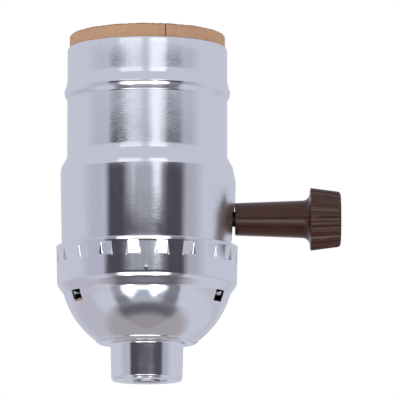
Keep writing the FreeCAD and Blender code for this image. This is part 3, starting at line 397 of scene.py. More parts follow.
def make_streaks_group():
    """Streaks: long noise along one way of the piece, for drawing and brushing marks."""
    tree, given, made = new_group(
        "Streaks",
        {"Place": ("Vector", None), "Stretch": ("Vector", (1.0, 1.0, 0.05)), "Scale": ("Float", 900.0),
         "Low": ("Float", 0.35), "High": ("Float", 0.7)},
        {"Mask": "Float"},
    )
    laid = tree.node("VectorMath", {0: given["Place"], 1: given["Stretch"]}, operation="MULTIPLY").outputs[0]
    noise = tree.node("TexNoise", {"Vector": laid, "Scale": given["Scale"], "Detail": 3.0, "Roughness": 0.6})
    tree.feed(made["Mask"], tree.between(noise.outputs[0], given["Low"], given["High"]))


def make_mottle_group():
    """Mottle: cloudy patches in two sizes, for uneven colour and gloss."""
    tree, given, made = new_group(
        "Mottle", {"Place": ("Vector", None), "Scale": ("Float", 120.0), "Contrast": ("Float", 0.25)},
        {"Mask": "Float"},
    )
    large = tree.node("TexNoise", {"Vector": given["Place"], "Scale": given["Scale"], "Detail": 2.0})
    finer = tree.sum("MULTIPLY", given["Scale"], 5.3)
    small = tree.node("TexNoise", {"Vector": given["Place"], "Scale": finer, "Detail": 4.0})
    large_share = tree.sum("MULTIPLY", large.outputs[0], 0.65)
    both = tree.sum("ADD", large_share, tree.sum("MULTIPLY", small.outputs[0], 0.35))
    low = tree.sum("SUBTRACT", 0.5, given["Contrast"])
    high = tree.sum("ADD", 0.5, given["Contrast"])
    tree.feed(made["Mask"], tree.between(both, low, high))


def make_wear_group():
    """Edge wear: where the surface turns sharply outwards, broken up by noise."""
    tree, given, made = new_group(
        "Edge wear",
        {"Place": ("Vector", None), "Sharpness": ("Float", 0.52), "Width": ("Float", 0.06),
         "Scale": ("Float", 700.0)},
        {"Mask": "Float"},
    )
    pointed = tree.node("NewGeometry").outputs["Pointiness"]
    noise = tree.node("TexNoise", {"Vector": given["Place"], "Scale": given["Scale"], "Detail": 3.0})
    uneven = tree.sum("MULTIPLY", tree.sum("SUBTRACT", noise.outputs[0], 0.5), given["Width"])
    edge = tree.sum("ADD", pointed, uneven)
    high = tree.sum("ADD", given["Sharpness"], given["Width"])
    tree.feed(made["Mask"], tree.between(edge, given["Sharpness"], high))


def make_relief_group():
    """Relief: a height turned into a normal."""
    tree, given, made = new_group(
        "Relief",
        {"Height": ("Float", 0.0), "Strength": ("Float", 0.2), "Depth": ("Float", 0.00002)},
        {"Normal": "Vector"},
    )
    sockets = {"Height": given["Height"], "Strength": given["Strength"], "Distance": given["Depth"]}
    tree.feed(made["Normal"], tree.node("Bump", sockets).outputs[0])


def new_material(name):
    """A material's tree, the inputs of its surface shader and the object coordinates for its patterns."""
    material = bpy.data.materials.new(name)
    material.use_nodes = True
    tree = Tree(material.node_tree)
    surface = tree.find("BSDF_PRINCIPLED")
    place = tree.node("TexCoord").outputs["Object"]
    return tree, surface.inputs, place


# Tints of faint marks, worn edges and scorched fibre
MARK_TINT = (0.55, 0.56, 0.60, 1.0)
WORN_TINT = (0.97, 0.97, 0.98, 1.0)
BROWNED_TINT = tone(96, 66, 46)

# Scorched fibre fades over these distances from the seam and below the mouth
SEAM_FADE = (0.08 * MM, 0.2 * MM)
MOUTH_FADE = (0.4 * MM, 0.1 * MM)

# Patch of the shell that fingers have dulled: where it begins along X, its height and how far it reaches
TOUCHED_ACROSS = (11.8 * MM, 14.5 * MM)
TOUCHED_HEIGHT = 33 * MM
TOUCHED_REACH = (7 * MM, 10 * MM)


def make_polished_metal(name, base, gloss, streak_way, dull=0.06, relief=0.12, edge=0.5, handled=0.0):
    """Polished or plated metal: long faint marks, smudged gloss and brighter, smoother edges.

    Where the knob is turned, fingers have dulled it: handled is added to the roughness beside the knob.
    """
    tree, surface, place = new_material(name)
    streaks = tree.group("Streaks", Place=place, Stretch=streak_way, Scale=1500.0, Low=0.42, High=0.75)
    smudges = tree.group("Mottle", Place=place, Scale=95.0, Contrast=0.22)
    waves = tree.group("Mottle", Place=place, Scale=520.0, Contrast=0.35)
    wear = tree.group("Edge wear", Place=place, Sharpness=edge, Width=0.08)
    shade = tree.mixed(tree.sum("MULTIPLY", streaks.outputs[0], 0.06), base, MARK_TINT)
    shade = tree.mixed(tree.sum("MULTIPLY", wear.outputs[0], 0.5), shade, WORN_TINT)
    tree.feed(surface["Base Color"], shade)
    surface["Metallic"].default_value = 1.0
    rough = tree.sum("MULTIPLY_ADD", smudges.outputs[0], dull, gloss)
    rough = tree.sum("MULTIPLY_ADD", streaks.outputs[0], dull * 0.6, rough)
    if handled:
        along = tree.node("SeparateXYZ", {0: place}).outputs
        beside = tree.between(along["X"], *TOUCHED_ACROSS)
        level = tree.sum("ABSOLUTE", tree.sum("SUBTRACT", along["Z"], TOUCHED_HEIGHT))
        touched = tree.sum("MULTIPLY", beside, tree.between(level, *TOUCHED_REACH, 1.0, 0.0))
        rough = tree.sum("MULTIPLY_ADD", touched, handled, rough)
    tree.feed(surface["Roughness"], rough)
    height = tree.sum("MULTIPLY_ADD", streaks.outputs[0], 0.25, waves.outputs[0])
    bumps = tree.group("Relief", Height=height, Strength=relief, Depth=0.00003)
    tree.feed(surface["Normal"], bumps.outputs[0])


def make_fibre(name, base, dark, cut, mouth, seam):
    """Vulcanised fibre board: matted fibres, cloudy colour, a paler cut edge and a browned mouth and seam.

    The seam is the half plane on the -Y side whose normal is given.
    """
    tree, surface, place = new_material(name)
    across = tree.group("Streaks", Place=place, Stretch=(1.0, 1.0, 0.18), Scale=1400.0, Low=0.3, High=0.72)
    along = tree.group("Streaks", Place=place, Stretch=(0.35, 0.35, 1.0), Scale=1100.0, Low=0.35, High=0.7)
    clouds = tree.group("Mottle", Place=place, Scale=160.0, Contrast=0.2)
    fibres = tree.sum("MULTIPLY", tree.sum("ADD", across.outputs[0], along.outputs[0]), 0.5)
    shade = tree.mixed(tree.sum("MULTIPLY", fibres, 0.45), base, dark)
    shade = tree.mixed(tree.sum("MULTIPLY", clouds.outputs[0], 0.35), shade, cut)
    wear = tree.group("Edge wear", Place=place, Sharpness=0.53, Width=0.08, Scale=1500.0)
    shade = tree.mixed(tree.sum("MULTIPLY", wear.outputs[0], 0.5), shade, cut)
    sides = tree.node("SeparateXYZ", {0: place}).outputs
    aside = tree.node("VectorMath", {0: place, 1: seam}, operation="DOT_PRODUCT").outputs["Value"]
    joined = tree.between(tree.sum("ABSOLUTE", aside), *SEAM_FADE, 0.8, 0.0)
    joined = tree.sum("MULTIPLY", joined, tree.sum("LESS_THAN", sides["Y"], 0.0))
    at_mouth = tree.between(sides["Z"], *[mouth - drop for drop in MOUTH_FADE])
    at_mouth = tree.sum("MULTIPLY", at_mouth, 0.75)
    browned = tree.sum("MAXIMUM", joined, at_mouth)
    tree.feed(surface["Base Color"], tree.mixed(browned, shade, BROWNED_TINT))
    tree.feed(surface["Roughness"], tree.sum("MULTIPLY_ADD", fibres, 0.2, 0.55))
    surface["Specular IOR Level"].default_value = 0.35
    bumps = tree.group("Relief", Height=fibres, Strength=0.35, Depth=0.00003)
    tree.feed(surface["Normal"], bumps.outputs[0])


def make_moulded(name, base, dark, pale, gloss, relief=0.15, sheen=WHITE):
    """Moulded thermoset plastic: cloudy filler, a satin skin that tints what it mirrors, and rubbed edges."""
    tree, surface, place = new_material(name)
    clouds = tree.group("Mottle", Place=place, Scale=230.0, Contrast=0.2)
    specks = tree.group("Mottle", Place=place, Scale=2600.0, Contrast=0.12)
    wear = tree.group("Edge wear", Place=place, Sharpness=0.54, Width=0.10, Scale=1300.0)
    shade = tree.mixed(tree.sum("MULTIPLY", clouds.outputs[0], 0.7), base, dark)
    shade = tree.mixed(tree.sum("MULTIPLY", wear.outputs[0], 0.35), shade, pale)
    tree.feed(surface["Base Color"], shade)
    rough = tree.sum("MULTIPLY_ADD", specks.outputs[0], 0.06, gloss)
    tree.feed(surface["Roughness"], tree.sum("MULTIPLY_ADD", wear.outputs[0], 0.08, rough))
    surface["Specular IOR Level"].default_value = 0.5
    surface["Specular Tint"].default_value = sheen
    bumps = tree.group("Relief", Height=specks.outputs[0], Strength=relief, Depth=0.00001)
    tree.feed(surface["Normal"], bumps.outputs[0])


def dress(name, material):
    """Give a CAD node's own object a material in place of its plain one."""
    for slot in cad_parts[name].material_slots:
        slot.material = bpy.data.materials[material]


def finish_piece(piece, material, slot, body, *nodes):
    """Give a new piece its material, let it ride on its body and stand for its CAD nodes. The slot is not
    used.
    """
    piece.data.materials.append(bpy.data.materials[material])
    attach(piece, body)
    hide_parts(*nodes)


# Places taken from the frame

SHELL_LOW, SHELL_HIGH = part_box("outer_shell")
CAP_LOW, CAP_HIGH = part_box("cap")
LINER_LOW, LINER_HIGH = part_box("insulating_liner")
KNOB_LOW, KNOB_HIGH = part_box("knob")
SOCKET_LOW, SOCKET_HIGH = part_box("screw_shell")
BUSHING_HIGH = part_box("bushing")[1]
CUP_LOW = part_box("cap_insulator")[0]
STRIP_LOW, STRIP_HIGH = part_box("centre_contact")
SHAFT_LOW, SHAFT_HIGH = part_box("switch_shaft")
SHAFT_Z = (SHAFT_LOW.z + SHAFT_HIGH.z) / 2


def dome_centre(s):
    """Height of the middle of the sphere that the cap's dome follows."""
    return CAP_LOW.z + sqrt(s.dome_radius ** 2 - s.flat_radius ** 2)


# Slopes of the rolled bead: millimetres from its crest, degrees
BEAD_ABOVE = [(0, 0), (0.3, 19), (1.5, 15), (2.9, 0)]
BEAD_BELOW = [(0, 0), (0.15, 9), (0.7, 15), (0.9, 28), (1.6, 31), (1.8, 0)]

# Swelling over the stem: the share and the heights of each stage of its rise, the height over which it
# ends below the shoulder, and the angles from +X between which it falls off
SWELL_STAGES = ((0.55, 28.5 * MM, 31 * MM), (0.45, 33 * MM, 37 * MM))
SWELL_END = 1.5 * MM
SWELL_ANGLES = (0.38, 0.8)

LEDGE = 0.03 * MM  # half of the height over which a dimple's lower edge drops


class ShellSizes(bpy.types.PropertyGroup):
    """Sizes of the drawn shell."""

    sheet: length("Sheet", "Thickness of the shell", 0.4 * MM)
    low_radius: length("Radius at the cap", "Outside of the shell where the cap covers it", 17.85 * MM)
    neck_radius: length("Neck radius", "Outside of the straight neck", 16.83 * MM)
    belly: length("Belly", "How far the lower part is from a straight cone", 0.1 * MM)
    shoulder: length("Shoulder height", "Where the shoulder begins", 44.0 * MM)
    shoulder_inset: length("Shoulder inset", "How far the flare's first stretch comes in", 0.18 * MM)
    shoulder_rise: length("Shoulder rise", "Height of that stretch", 0.9 * MM)
    swelling: length("Swelling", "How far the sheet is pressed out over the stem", 0.42 * MM)
    neck: length("Neck height", "Where the flare meets the neck", 47.0 * MM)
    bead: length("Bead height", "Crest of the rolled bead", 60.9 * MM)
    bead_rise: length("Bead rise", "How far the bead stands out", 0.64 * MM)
    top_trim: length("Top trim", "How far the rounded edge stands below the CAD edge", 0.3 * MM)
    top_waist: length("Waist", "How much narrower the sheet is at the bead than at the top band", 0.03 * MM)
    top_band: length("Top band", "Height of the band that narrows to the mouth", 2.4 * MM)
    top_curl: length("Top curl", "How much narrower the mouth is", 0.01 * MM)
    barrel: length("Barrel", "How far the neck swells at its middle", 0.005 * MM)
    slot_radius: length("Stem slot", "Half width of the slot for the stem", 3.4 * MM)
    softness: length("Corner softness", "How far the drawn corners are rounded", 0.16 * MM)
    unevenness: length("Unevenness", "Depth of the slight waves in the drawn sheet", 0.006 * MM)


class CapSizes(bpy.types.PropertyGroup):
    """Sizes of the drawn cap."""

    sheet: length("Sheet", "Thickness of the cap", 0.5 * MM)
    mouth_radius: length("Mouth radius", "Outside of the flare at the mouth", 19.08 * MM)
    rim_radius: length("Rim radius", "Outside of the rim below the flare", 18.96 * MM)
    rim_draft: length("Rim draft", "How much narrower the rim is at its lower edge", 0.105 * MM)
    rim_low: length("Rim lower edge", "Height where the rim's lower bevel starts", 20.6 * MM)
    rim_bevel: length("Rim bevel", "How far the bevel goes in", 0.19 * MM)
    bevel_height: length("Bevel height", "Height of the bevel under the rim", 0.68 * MM)
    step_low: length("Step lower edge", "Height where the step meets the dome", 18.3 * MM)
    dome_radius: length("Dome radius", "Outside of the domed bottom", 18.12 * MM)
    flat_radius: length("Flat radius", "Radius at which the dome reaches the CAD bottom", 8.31 * MM)
    bottom_lift: length("Bottom lift", "How far the flat bottom is above the CAD bottom", 0.78 * MM)
    ring_radius: length("Ring radius", "Step where the bottom is pressed out", 10.8 * MM)
    ring_step: length("Ring step", "Depth of that step", 0.22 * MM)
    ring_lean: length("Ring lean", "How far the step's side leans", 0.02 * MM)
    ring_softness: length("Ring softness", "How far the corners of the step are rounded", 0.05 * MM)
    hole_radius: length("Hole radius", "Hole for the neck of the bushing", 6.25 * MM)
    lip_height: length("Lip height", "Height of the flare at the mouth", 0.55 * MM)
    softness: length("Corner softness", "How far the drawn corners are rounded", 0.18 * MM)
    dimples: IntProperty(name="Dimples", description="Pressed dimples around the rim", default=20, min=3)
    dimple_width: length("Dimple width", "Width of a dimple", 3.2 * MM)
    dimple_slope: share("Dimple sides", "Slope of a dimple's sides", 1.2, 10.0)
    dimple_spread: length("Dimple spread", "How much narrower each half of a dimple is at its top", 0.4 * MM)
    dimple_turn: share("Dimple angle", "From the front to the first dimple, in degrees", 10.0, 360.0)
    dimple_height: length("Dimple height", "Height of a dimple", 2.7 * MM)
    dimple_drop: length("Dimple drop", "From the mouth down to a dimple", 0.8 * MM)
    dimple_depth: length("Dimple depth", "Depth at the dimple's lower edge", 0.52 * MM)
    dimple_blend: length("Dimple corner", "Rounding between a dimple's floor and sides", 0.08 * MM)
    slots: IntProperty(name="Slots", description="Slots through the dome", default=3, min=1)
    slot_width: length("Slot width", "Width of a slot", 3.3 * MM)
    slot_height: length("Slot height", "Height of a slot", 2.3 * MM)
    slot_place: length("Slot place", "Height of the slots", 17.05 * MM)
    slot_turn: share("Slot angle", "From the front to the first slot, in degrees", 62.0, 360.0)
    pip_radius: length("Pip radius", "Small raised pip at the front", 0.45 * MM)
    pip_rise: length("Pip rise", "How far the pip stands out", 0.045 * MM)
    pip_place: length("Pip place", "Height of the pip", 21.7 * MM)
    unevenness: length("Unevenness", "Depth of the slight waves in the drawn sheet", 0.005 * MM)


class FibreSizes(bpy.types.PropertyGroup):
    """Sizes of the fibre liner and the fibre cup."""

    liner_wall: length("Liner wall", "Thickness of the liner", 0.8 * MM)
    liner_fall: length("Liner fall", "How much lower the liner's top is at the back", 0.3 * MM)
    seam: length("Seam", "Width of the butt seam", 0.1 * MM)
    seam_turn: share("Seam angle", "From the front to the seam, in degrees", 14.0, 360.0)
    cup_wall: length("Cup wall", "Thickness of the cup in the cap", 0.4 * MM)
    cup_level: length("Cup level", "Mean height of the cup's cut edge", 15.95 * MM)
    cup_lean: length("Cup lean", "How much higher the cut edge is on the left than in the middle", 0.55 * MM)


class KnobSizes(bpy.types.PropertyGroup):
    """Sizes of the fluted knob."""

    shank_radius: length("Shank radius", "Shank at its inner end", 3.42 * MM)
    neck_radius: length("Neck radius", "Shank where the flare begins", 3.94 * MM)
    shank_length: length("Shank length", "From the inner end to the flare", 14.1 * MM)
    flare_radius: length("Flare radius", "Hollow of the flare", 1.55 * MM)
    flare_rim: length("Flare rim", "From the hollow of the flare to the head", 0.2 * MM)
    head_taper: length("Head taper", "How much the head narrows", 0.73 * MM)
    edge_radius: length("Edge radius", "Rounded outer edge", 0.8 * MM)
    bore_radius: length("Bore radius", "Hole for the shaft", 1.63 * MM)
    bore_length: length("Bore length", "Depth of that hole", 11.7 * MM)
    flutes: IntProperty(name="Flutes", description="Flutes around the head", default=22, min=3)
    flute_radius: length("Flute radius", "Hollow of a flute", 0.9 * MM)
    flute_depth: length("Flute depth", "Depth of a flute", 0.36 * MM)
    crest: length("Crest softness", "How far the crests between flutes are rounded", 0.05 * MM)


class SocketSizes(bpy.types.PropertyGroup):
    """Sizes of the screw shell, the centre contact and the bushing."""

    thread_radius: length("Thread radius", "Deepest inside radius of the lamp's thread", 13.35 * MM)
    thread_depth: length("Thread depth", "Depth of the rolled thread", 0.9 * MM)
    thread_pitch: length("Thread pitch", "Pitch of the rolled thread", 3.63 * MM)
    socket_sheet: length("Screw shell sheet", "Thickness of the screw shell", 0.3 * MM)
    lip_radius: length("Lip radius", "Inside of the rolled lip", 13.25 * MM)
    lip_height: length("Lip height", "Height of the rolled lip", 1.6 * MM)
    floor_hole: length("Floor hole", "Hole in the floor around the raised seat", 7.8 * MM)
    strip_sheet: length("Contact sheet", "Thickness of the centre contact", 0.4 * MM)
    tongue_rise: length("Tongue rise", "How far the contact's tongue rises", 2.0 * MM)
    bushing_bore: length("Bushing bore", "Crest radius of the pipe thread", 4.5 * MM)
    bushing_radius: length("Bushing radius", "Outside of the bushing below the cap", 7.62 * MM)
    bushing_neck: length("Bushing neck", "Neck that passes through the cap", 6.2 * MM)
    bushing_draft: length("Bushing draft", "How much narrower the bushing is at its lower end", 0.18 * MM)
    bushing_edge: length("Bushing edge", "Height of the sloping lower edge of the bushing", 0.6 * MM)
    bushing_fillet: length("Bushing fillet", "Hollow where the bushing meets the cap", 0.4 * MM)
    pipe_pitch: length("Pipe pitch", "Pitch of the pipe thread, 27 turns to the inch", 0.941 * MM)
    pipe_depth: length("Pipe depth", "Depth of the pipe thread", 0.42 * MM)
    set_screw_radius: length("Set screw radius", "Hole of the set screw", 1.75 * MM)
    set_screw_place: length("Set screw place", "Height of the set screw's axis", 3.4 * MM)


class Finishes(bpy.types.PropertyGroup):
    """Colours of the finishes."""

    aluminium: colour("Aluminium", "Polished aluminium", (0.90, 0.905, 0.92, 1.0))
    turned: colour("Turned aluminium", "Aluminium of the bushing", (0.92, 0.925, 0.945, 1.0))
    brass: colour("Brass", "Contact brass", (0.82, 0.60, 0.28, 1.0))
    nickel: colour("Nickel", "Nickel plate", (0.72, 0.69, 0.64, 1.0))
    steel: colour("Steel", "Zinc-plated steel", (0.60, 0.61, 0.63, 1.0))
    # Near black: painted shade and painted reflection of the dark knob and shell on the stem between them,
    # not the steel's own colour
    shaded_steel: colour("Oiled steel", "Steel of the switch's moving parts", (0.04, 0.036, 0.035, 1.0))
    fibre: colour("Fibre", "Fibre board", tone(192, 153, 122))
    fibre_dark: colour("Dark fibre", "Dark strands of the board", tone(158, 112, 82))
    fibre_cut: colour("Cut fibre", "Cut edge of the board", tone(206, 168, 136))
    knob: colour("Knob", "Brown plastic", tone(64, 36, 28))
    knob_dark: colour("Dark knob", "Darker clouds of the brown plastic", tone(50, 27, 21))
    phenolic: colour("Phenolic", "Moulded body", tone(38, 33, 31))


class StageSettings(bpy.types.PropertyGroup):
    """Camera, floor and light."""

    distance: length("Camera distance", "From the camera to the point that it looks at", 0.95)
    elevation: FloatProperty(name="Elevation", description="Height of the camera, as an angle in degrees",
                             default=-8.0)
    focal: FloatProperty(name="Focal length", description="Focal length in millimetres", default=407.0)
    aim_x: FloatProperty(name="Aim across", description="Point that the camera looks at", default=0.0111)
    aim_z: FloatProperty(name="Aim height", description="Point that the camera looks at", default=0.0382)
    fill: share("Fill", "Strength of the soft light on surfaces that don't mirror it", 0.72, 5.0)
    surround: colour("Surround", "Bluish grey of the studio, as the metal mirrors it",
                     (0.576, 0.59, 0.693, 1.0))


class LampHolder(bpy.types.PropertyGroup):
    """All settings of the lamp holder."""

    shell: PointerProperty(type=ShellSizes)
    cap: PointerProperty(type=CapSizes)
    fibre: PointerProperty(type=FibreSizes)
    knob: PointerProperty(type=KnobSizes)
    socket: PointerProperty(type=SocketSizes)
    finishes: PointerProperty(type=Finishes)
    stage: PointerProperty(type=StageSettings)


# Operators, one for each piece or group of like pieces


class HOLDER_OT_finishes(bpy.types.Operator):
    """Make the shared effects and the materials"""

    bl_idname = "holder.finishes"
    bl_label = "Finishes"

    def execute(self, context):
        make_streaks_group()
        make_mottle_group()
        make_wear_group()
        make_relief_group()
        tones = context.scene.lamp_holder.finishes
        upright, level = (1.0, 1.0, 0.03), (0.03, 1.0, 1.0)
        make_polished_metal("Drawn aluminium", tones.aluminium, 0.055, upright, dull=0.05, relief=0.10,
                            handled=0.2)
        make_polished_metal("Turned aluminium", tones.turned, 0.07, (0.2, 0.2, 1.0), dull=0.05, relief=0.12)
        make_polished_metal("Rolled aluminium", tones.aluminium, 0.12, (0.3, 0.3, 1.0), dull=0.08, relief=0.2)
        make_polished_metal("Contact brass", tones.brass, 0.16, level, dull=0.12, relief=0.3)
        make_polished_metal("Nickel plate", tones.nickel, 0.14, upright, dull=0.10, relief=0.3)
        make_polished_metal("Plated steel", tones.steel, 0.18, level, dull=0.12, relief=0.4)
        # The switch's steel: its near-black base is painted shade and painted reflection, not the steel's own
        # colour
        make_polished_metal("Oiled steel", tones.shaded_steel, 0.35, level, dull=0.12, relief=0.3, edge=0.9)
        turn = radians(context.scene.lamp_holder.fibre.seam_turn)
        make_fibre("Fibre board", tones.fibre, tones.fibre_dark, tones.fibre_cut, LINER_HIGH.z,
                   (cos(turn), sin(turn), 0.0))
        make_moulded("Brown plastic", tones.knob, tones.knob_dark, tone(110, 84, 74), 0.15, relief=0.03,
                     sheen=(1.0, 0.87, 0.78, 1.0))
        make_moulded("Phenolic", tones.phenolic, tone(24, 21, 20), tone(80, 72, 66), 0.38, relief=0.35)
        return {"FINISHED"}


class HOLDER_OT_shell(bpy.types.Operator):
    """Draw the outer shell with its bead, its flare and the slot for the stem"""

    bl_idname = "holder.shell"
    bl_label = "Outer shell"

    def execute(self, context):
        s = context.scene.lamp_holder.shell
        path = self.profile(s)
        inner = path - outward(path) * s.sheet
        inner[:, 0] = np.minimum(inner[:, 0], path[:, 0] - s.sheet * 0.2)
        slot_low, slot_high = SHAFT_Z - s.slot_radius, SHAFT_Z + s.slot_radius
        near_bead = (s.bead - 2.4 * MM, s.bead + 3 * MM, 0.22 * MM)
        near_slot = (slot_low, slot_high + 1.6 * MM, 0.45 * MM)
        places = row_places(path, 1.6 * MM, radians(6), finer=(near_bead, near_slot))
        places = moved_onto(places, [at_height(path, slot_high)])
        side = asin(s.slot_radius / SHELL_HIGH.y)
        angles = moved_onto(around(300, (-side, side), 0.1, 2.5), (-side, side))
        surfaces = []
        for fine in (path, inner):
            rows = picked(fine, places)
            heights = rows[:, 1:]
            radius = rows[:, :1] + ripple(angles, heights, s.unevenness) + self.swell(angles, heights, s)
            surfaces.append(round_slot(lathe(radius, heights, angles), angles, s.slot_radius))
        middle = middles(picked(path, places)[:, 1])
        in_slot = (middle < slot_high)[:, None] & (np.abs(column_middles(angles)) < side)[None, :]
        piece = sheet_piece("outer_shell_drawn", *surfaces, kept=~in_slot)
        finish_piece(piece, "Drawn aluminium", "shell_metal", "holder", "outer_shell")
        return {"FINISHED"}

    def profile(self, s):
        """Outside of the shell, from its lower edge up and over its rounded mouth.

        Straight runs with softened corners, to which the belly, the bead and the barrel of the neck add
        their heights.
        """
        low, top, mouth = SHELL_LOW.z, SHELL_HIGH.z - s.top_trim, s.neck_radius - s.top_curl
        shoulder, bead_foot = SHELL_HIGH.y, s.bead - BEAD_BELOW[-1][0] * MM
        path = softened(np.concatenate([
            corners((s.low_radius, low), (s.low_radius, CAP_HIGH.z), (shoulder, s.shoulder),
                    (shoulder - s.shoulder_inset, s.shoulder + s.shoulder_rise), (s.neck_radius, s.neck),
                    (s.neck_radius, bead_foot), (s.neck_radius - s.top_waist, s.bead),
                    (s.neck_radius, top - s.top_band), (mouth, top - s.sheet * 1.3)),
            bend((mouth - s.sheet, top - s.sheet), s.sheet, 0, 80),
        ]), s.softness)
        path[:, 1] += top - path[:, 1].max()
        way_up = np.clip((path[:, 1] - CAP_HIGH.z) / (s.shoulder - CAP_HIGH.z), 0, 1)
        path[:, 0] += s.belly * (1 - (1 - way_up) ** 3 - way_up) + self.bead(path[:, 1], s)
        way_up = np.clip((path[:, 1] - s.neck) / (bead_foot - s.neck), 0, 1)
        path[:, 0] += s.barrel * 4 * way_up * (1 - way_up)
        return path

    def bead(self, heights, s):
        """Rise of the bead: its slopes at distances from the crest, added up from there to its feet.

        The sums above and below the crest are scaled so that both come down to nothing.
        """
        away = np.linspace(0, 3 * MM, 3001)
        rise = np.zeros_like(heights)
        for side, slopes in ((heights >= s.bead, BEAD_ABOVE), (heights < s.bead, BEAD_BELOW)):
            places, leans = np.array(slopes).T
            fall = np.cumsum(np.tan(np.radians(np.interp(away, places * MM, leans, right=0))))
            rise += side * s.bead_rise * (1 - np.interp(np.abs(heights - s.bead), away, fall / fall[-1]))
        return rise

    def swell(self, angles, heights, s):
        """Slight bulge at the stem's slot, where the switch presses the sheet out.

        It is level round +X and falls off to both sides, and it rises in stages up to the shoulder.
        """
        up = sum(part * smooth_step(heights, low, high) for part, low, high in SWELL_STAGES)
        up = up * (1 - smooth_step(heights, s.shoulder - SWELL_END, s.shoulder))
        near, far = SWELL_ANGLES
        return s.swelling * smooth_step(-np.abs(angles), -far, -near) * up


class HOLDER_OT_cap(bpy.types.Operator):
    """Draw the cap with its pressed dimples, its slots and its pip"""

    bl_idname = "holder.cap"
    bl_label = "Cap"

    def execute(self, context):
        s = context.scene.lamp_holder.cap
        centre = dome_centre(s)
        base, mouth = CAP_LOW.z + s.bottom_lift, CAP_HIGH.z
        path = self.profile(s, centre, base, mouth)
        inner = path - outward(path) * s.sheet
        top = mouth - s.dimple_drop
        ledge = top - s.dimple_height
        slot_low, slot_high = s.slot_place - s.slot_height / 2, s.slot_place + s.slot_height / 2
        near_pip = (s.pip_place - 0.6 * MM, s.pip_place + 0.6 * MM, 0.14 * MM)
        near_dimples = (ledge - 0.5 * MM, top + 0.3 * MM, 0.3 * MM)
        places = row_places(path, 1.0 * MM, radians(6), finer=(near_pip, near_dimples))
        edges = [at_height(path, ledge + LEDGE), at_height(path, ledge - LEDGE)]
        places = np.sort(np.concatenate([places, edges]))
        places = moved_onto(places, [at_height(path, slot_low), at_height(path, slot_high)])
        first_slot = FRONT + radians(s.slot_turn)
        turns = [angle_between(first_slot + 2 * pi * step / s.slots, 0) for step in range(s.slots)]
        half = asin(s.slot_width / 2 / (s.dome_radius * cos(asin((s.slot_place - centre) / s.dome_radius))))
        angles = moved_onto(self.columns(s), [turn + side for turn in turns for side in (-half, half)])
        rows, inner_rows = picked(path, places), picked(inner, places)
        heights = rows[:, 1:]
        turned = self.drawn_in(angles, heights, s)
        push = self.dimple_push(turned, heights, s)
        pip = self.pip_push(turned, heights, s)
        wave = ripple(turned, heights, s.unevenness) * smooth_step(heights, base, base + 2 * MM)
        outer = lathe(rows[:, :1] - push + pip + wave, heights, turned)
        inside = lathe(inner_rows[:, :1] - push + wave, inner_rows[:, 1:], turned)
        middle = middles(rows[:, 1])[:, None]
        facing = column_middles(angles)[None, :]
        in_slot = np.zeros((len(rows) - 1, len(angles)), bool)
        for turn in turns:
            beside = np.abs(angle_between(facing, turn)) < half
            in_slot |= (middle > slot_low) & (middle < slot_high) & beside
        piece = sheet_piece("cap_drawn", outer, inside, kept=~in_slot, sharp=radians(35))
        finish_piece(piece, "Drawn aluminium", "cap_metal", "holder", "cap")
        return {"FINISHED"}

    def profile(self, s, centre, base, mouth):
        """Outside of the cap, from its hole over the ring, the dome, the step and the rim to its mouth.

        Straight runs and an arc. The lower half is softened less, which keeps the ring crisp.
        """
        ring = centre - sqrt(s.dome_radius ** 2 - s.ring_radius ** 2)
        flat = sqrt(s.dome_radius ** 2 - (centre - base - s.ring_step) ** 2)
        first, last = [degrees(asin((height - centre) / s.dome_radius)) for height in (ring, s.step_low)]
        halfway = (first + last) / 2
        rim_foot = s.rim_radius - s.rim_draft
        bottom = np.concatenate([
            corners((s.hole_radius, base), (flat, base), (s.ring_radius - s.ring_lean, ring - s.ring_step),
                    (s.ring_radius, ring)),
            bend((0, centre), s.dome_radius, first, halfway),
        ])
        side = np.concatenate([
            bend((0, centre), s.dome_radius, halfway, last),
            corners((s.dome_radius * cos(radians(last)), s.step_low),
                    (rim_foot - s.rim_bevel, s.rim_low - s.bevel_height), (rim_foot, s.rim_low),
                    (s.rim_radius, mouth - s.lip_height), (s.mouth_radius, mouth),
                    (s.mouth_radius, mouth + PATH_STEP)),
        ])
        path = np.concatenate([softened(bottom, s.ring_softness), softened(side, s.softness)])
        path[:, 1] = np.minimum(path[:, 1], mouth)
        return path

    def columns(self, s):
        """Angles that crowd at both sides of each dimple, and at the pip."""
        period = 2 * pi / s.dimples
        half = s.dimple_width / 2
        near = half + np.array([-0.45, -0.37, -0.29, -0.21, -0.14, -0.07, 0.0, 0.07, 0.14, 0.3]) * MM
        middle = np.array([-0.6, -0.2, 0.2, 0.6]) * MM
        gap = np.array([half + 0.75 * MM, period * s.rim_radius / 2])
        offsets = np.concatenate([-gap[:1], -near[::-1], middle, near, gap]) / s.rim_radius
        first = FRONT + radians(s.dimple_turn)
        angles = np.concatenate([first + period * count + offsets for count in range(s.dimples)])
        pip = FRONT + np.arange(-4, 5) * 0.13 * MM / s.rim_radius
        angles = np.concatenate([angles, pip])
        return np.unique(np.round(angle_between(angles, 0), 7))

    def from_dimple(self, angles, s):
        """Signed distance round the rim from the middle of the nearest dimple."""
        period = 2 * pi / s.dimples
        return ((angles - FRONT - radians(s.dimple_turn) + period / 2) % period - period / 2) * s.rim_radius

    def drawn_in(self, angles, heights, s):
        """Angles of the columns at each row, moved so that they follow the leaning sides of the dimples.

        A column moves towards the middle of its dimple by the spread times the height inside the dimple,
        most at the dimple's side and not at all at its middle or halfway to the next one.
        """
        half = s.dimple_width / 2
        across = self.from_dimple(angles, s)
        away = np.abs(across)
        gap = pi / s.dimples * s.rim_radius - half
        share_of_way = np.where(away < half, away / half, np.clip((half + gap - away) / gap, 0, 1))
        top = CAP_HIGH.z - s.dimple_drop
        up = np.clip((heights - top + s.dimple_height) / s.dimple_height, 0, 1)
        return angles - np.sign(across) * s.dimple_spread * up * share_of_way / s.rim_radius

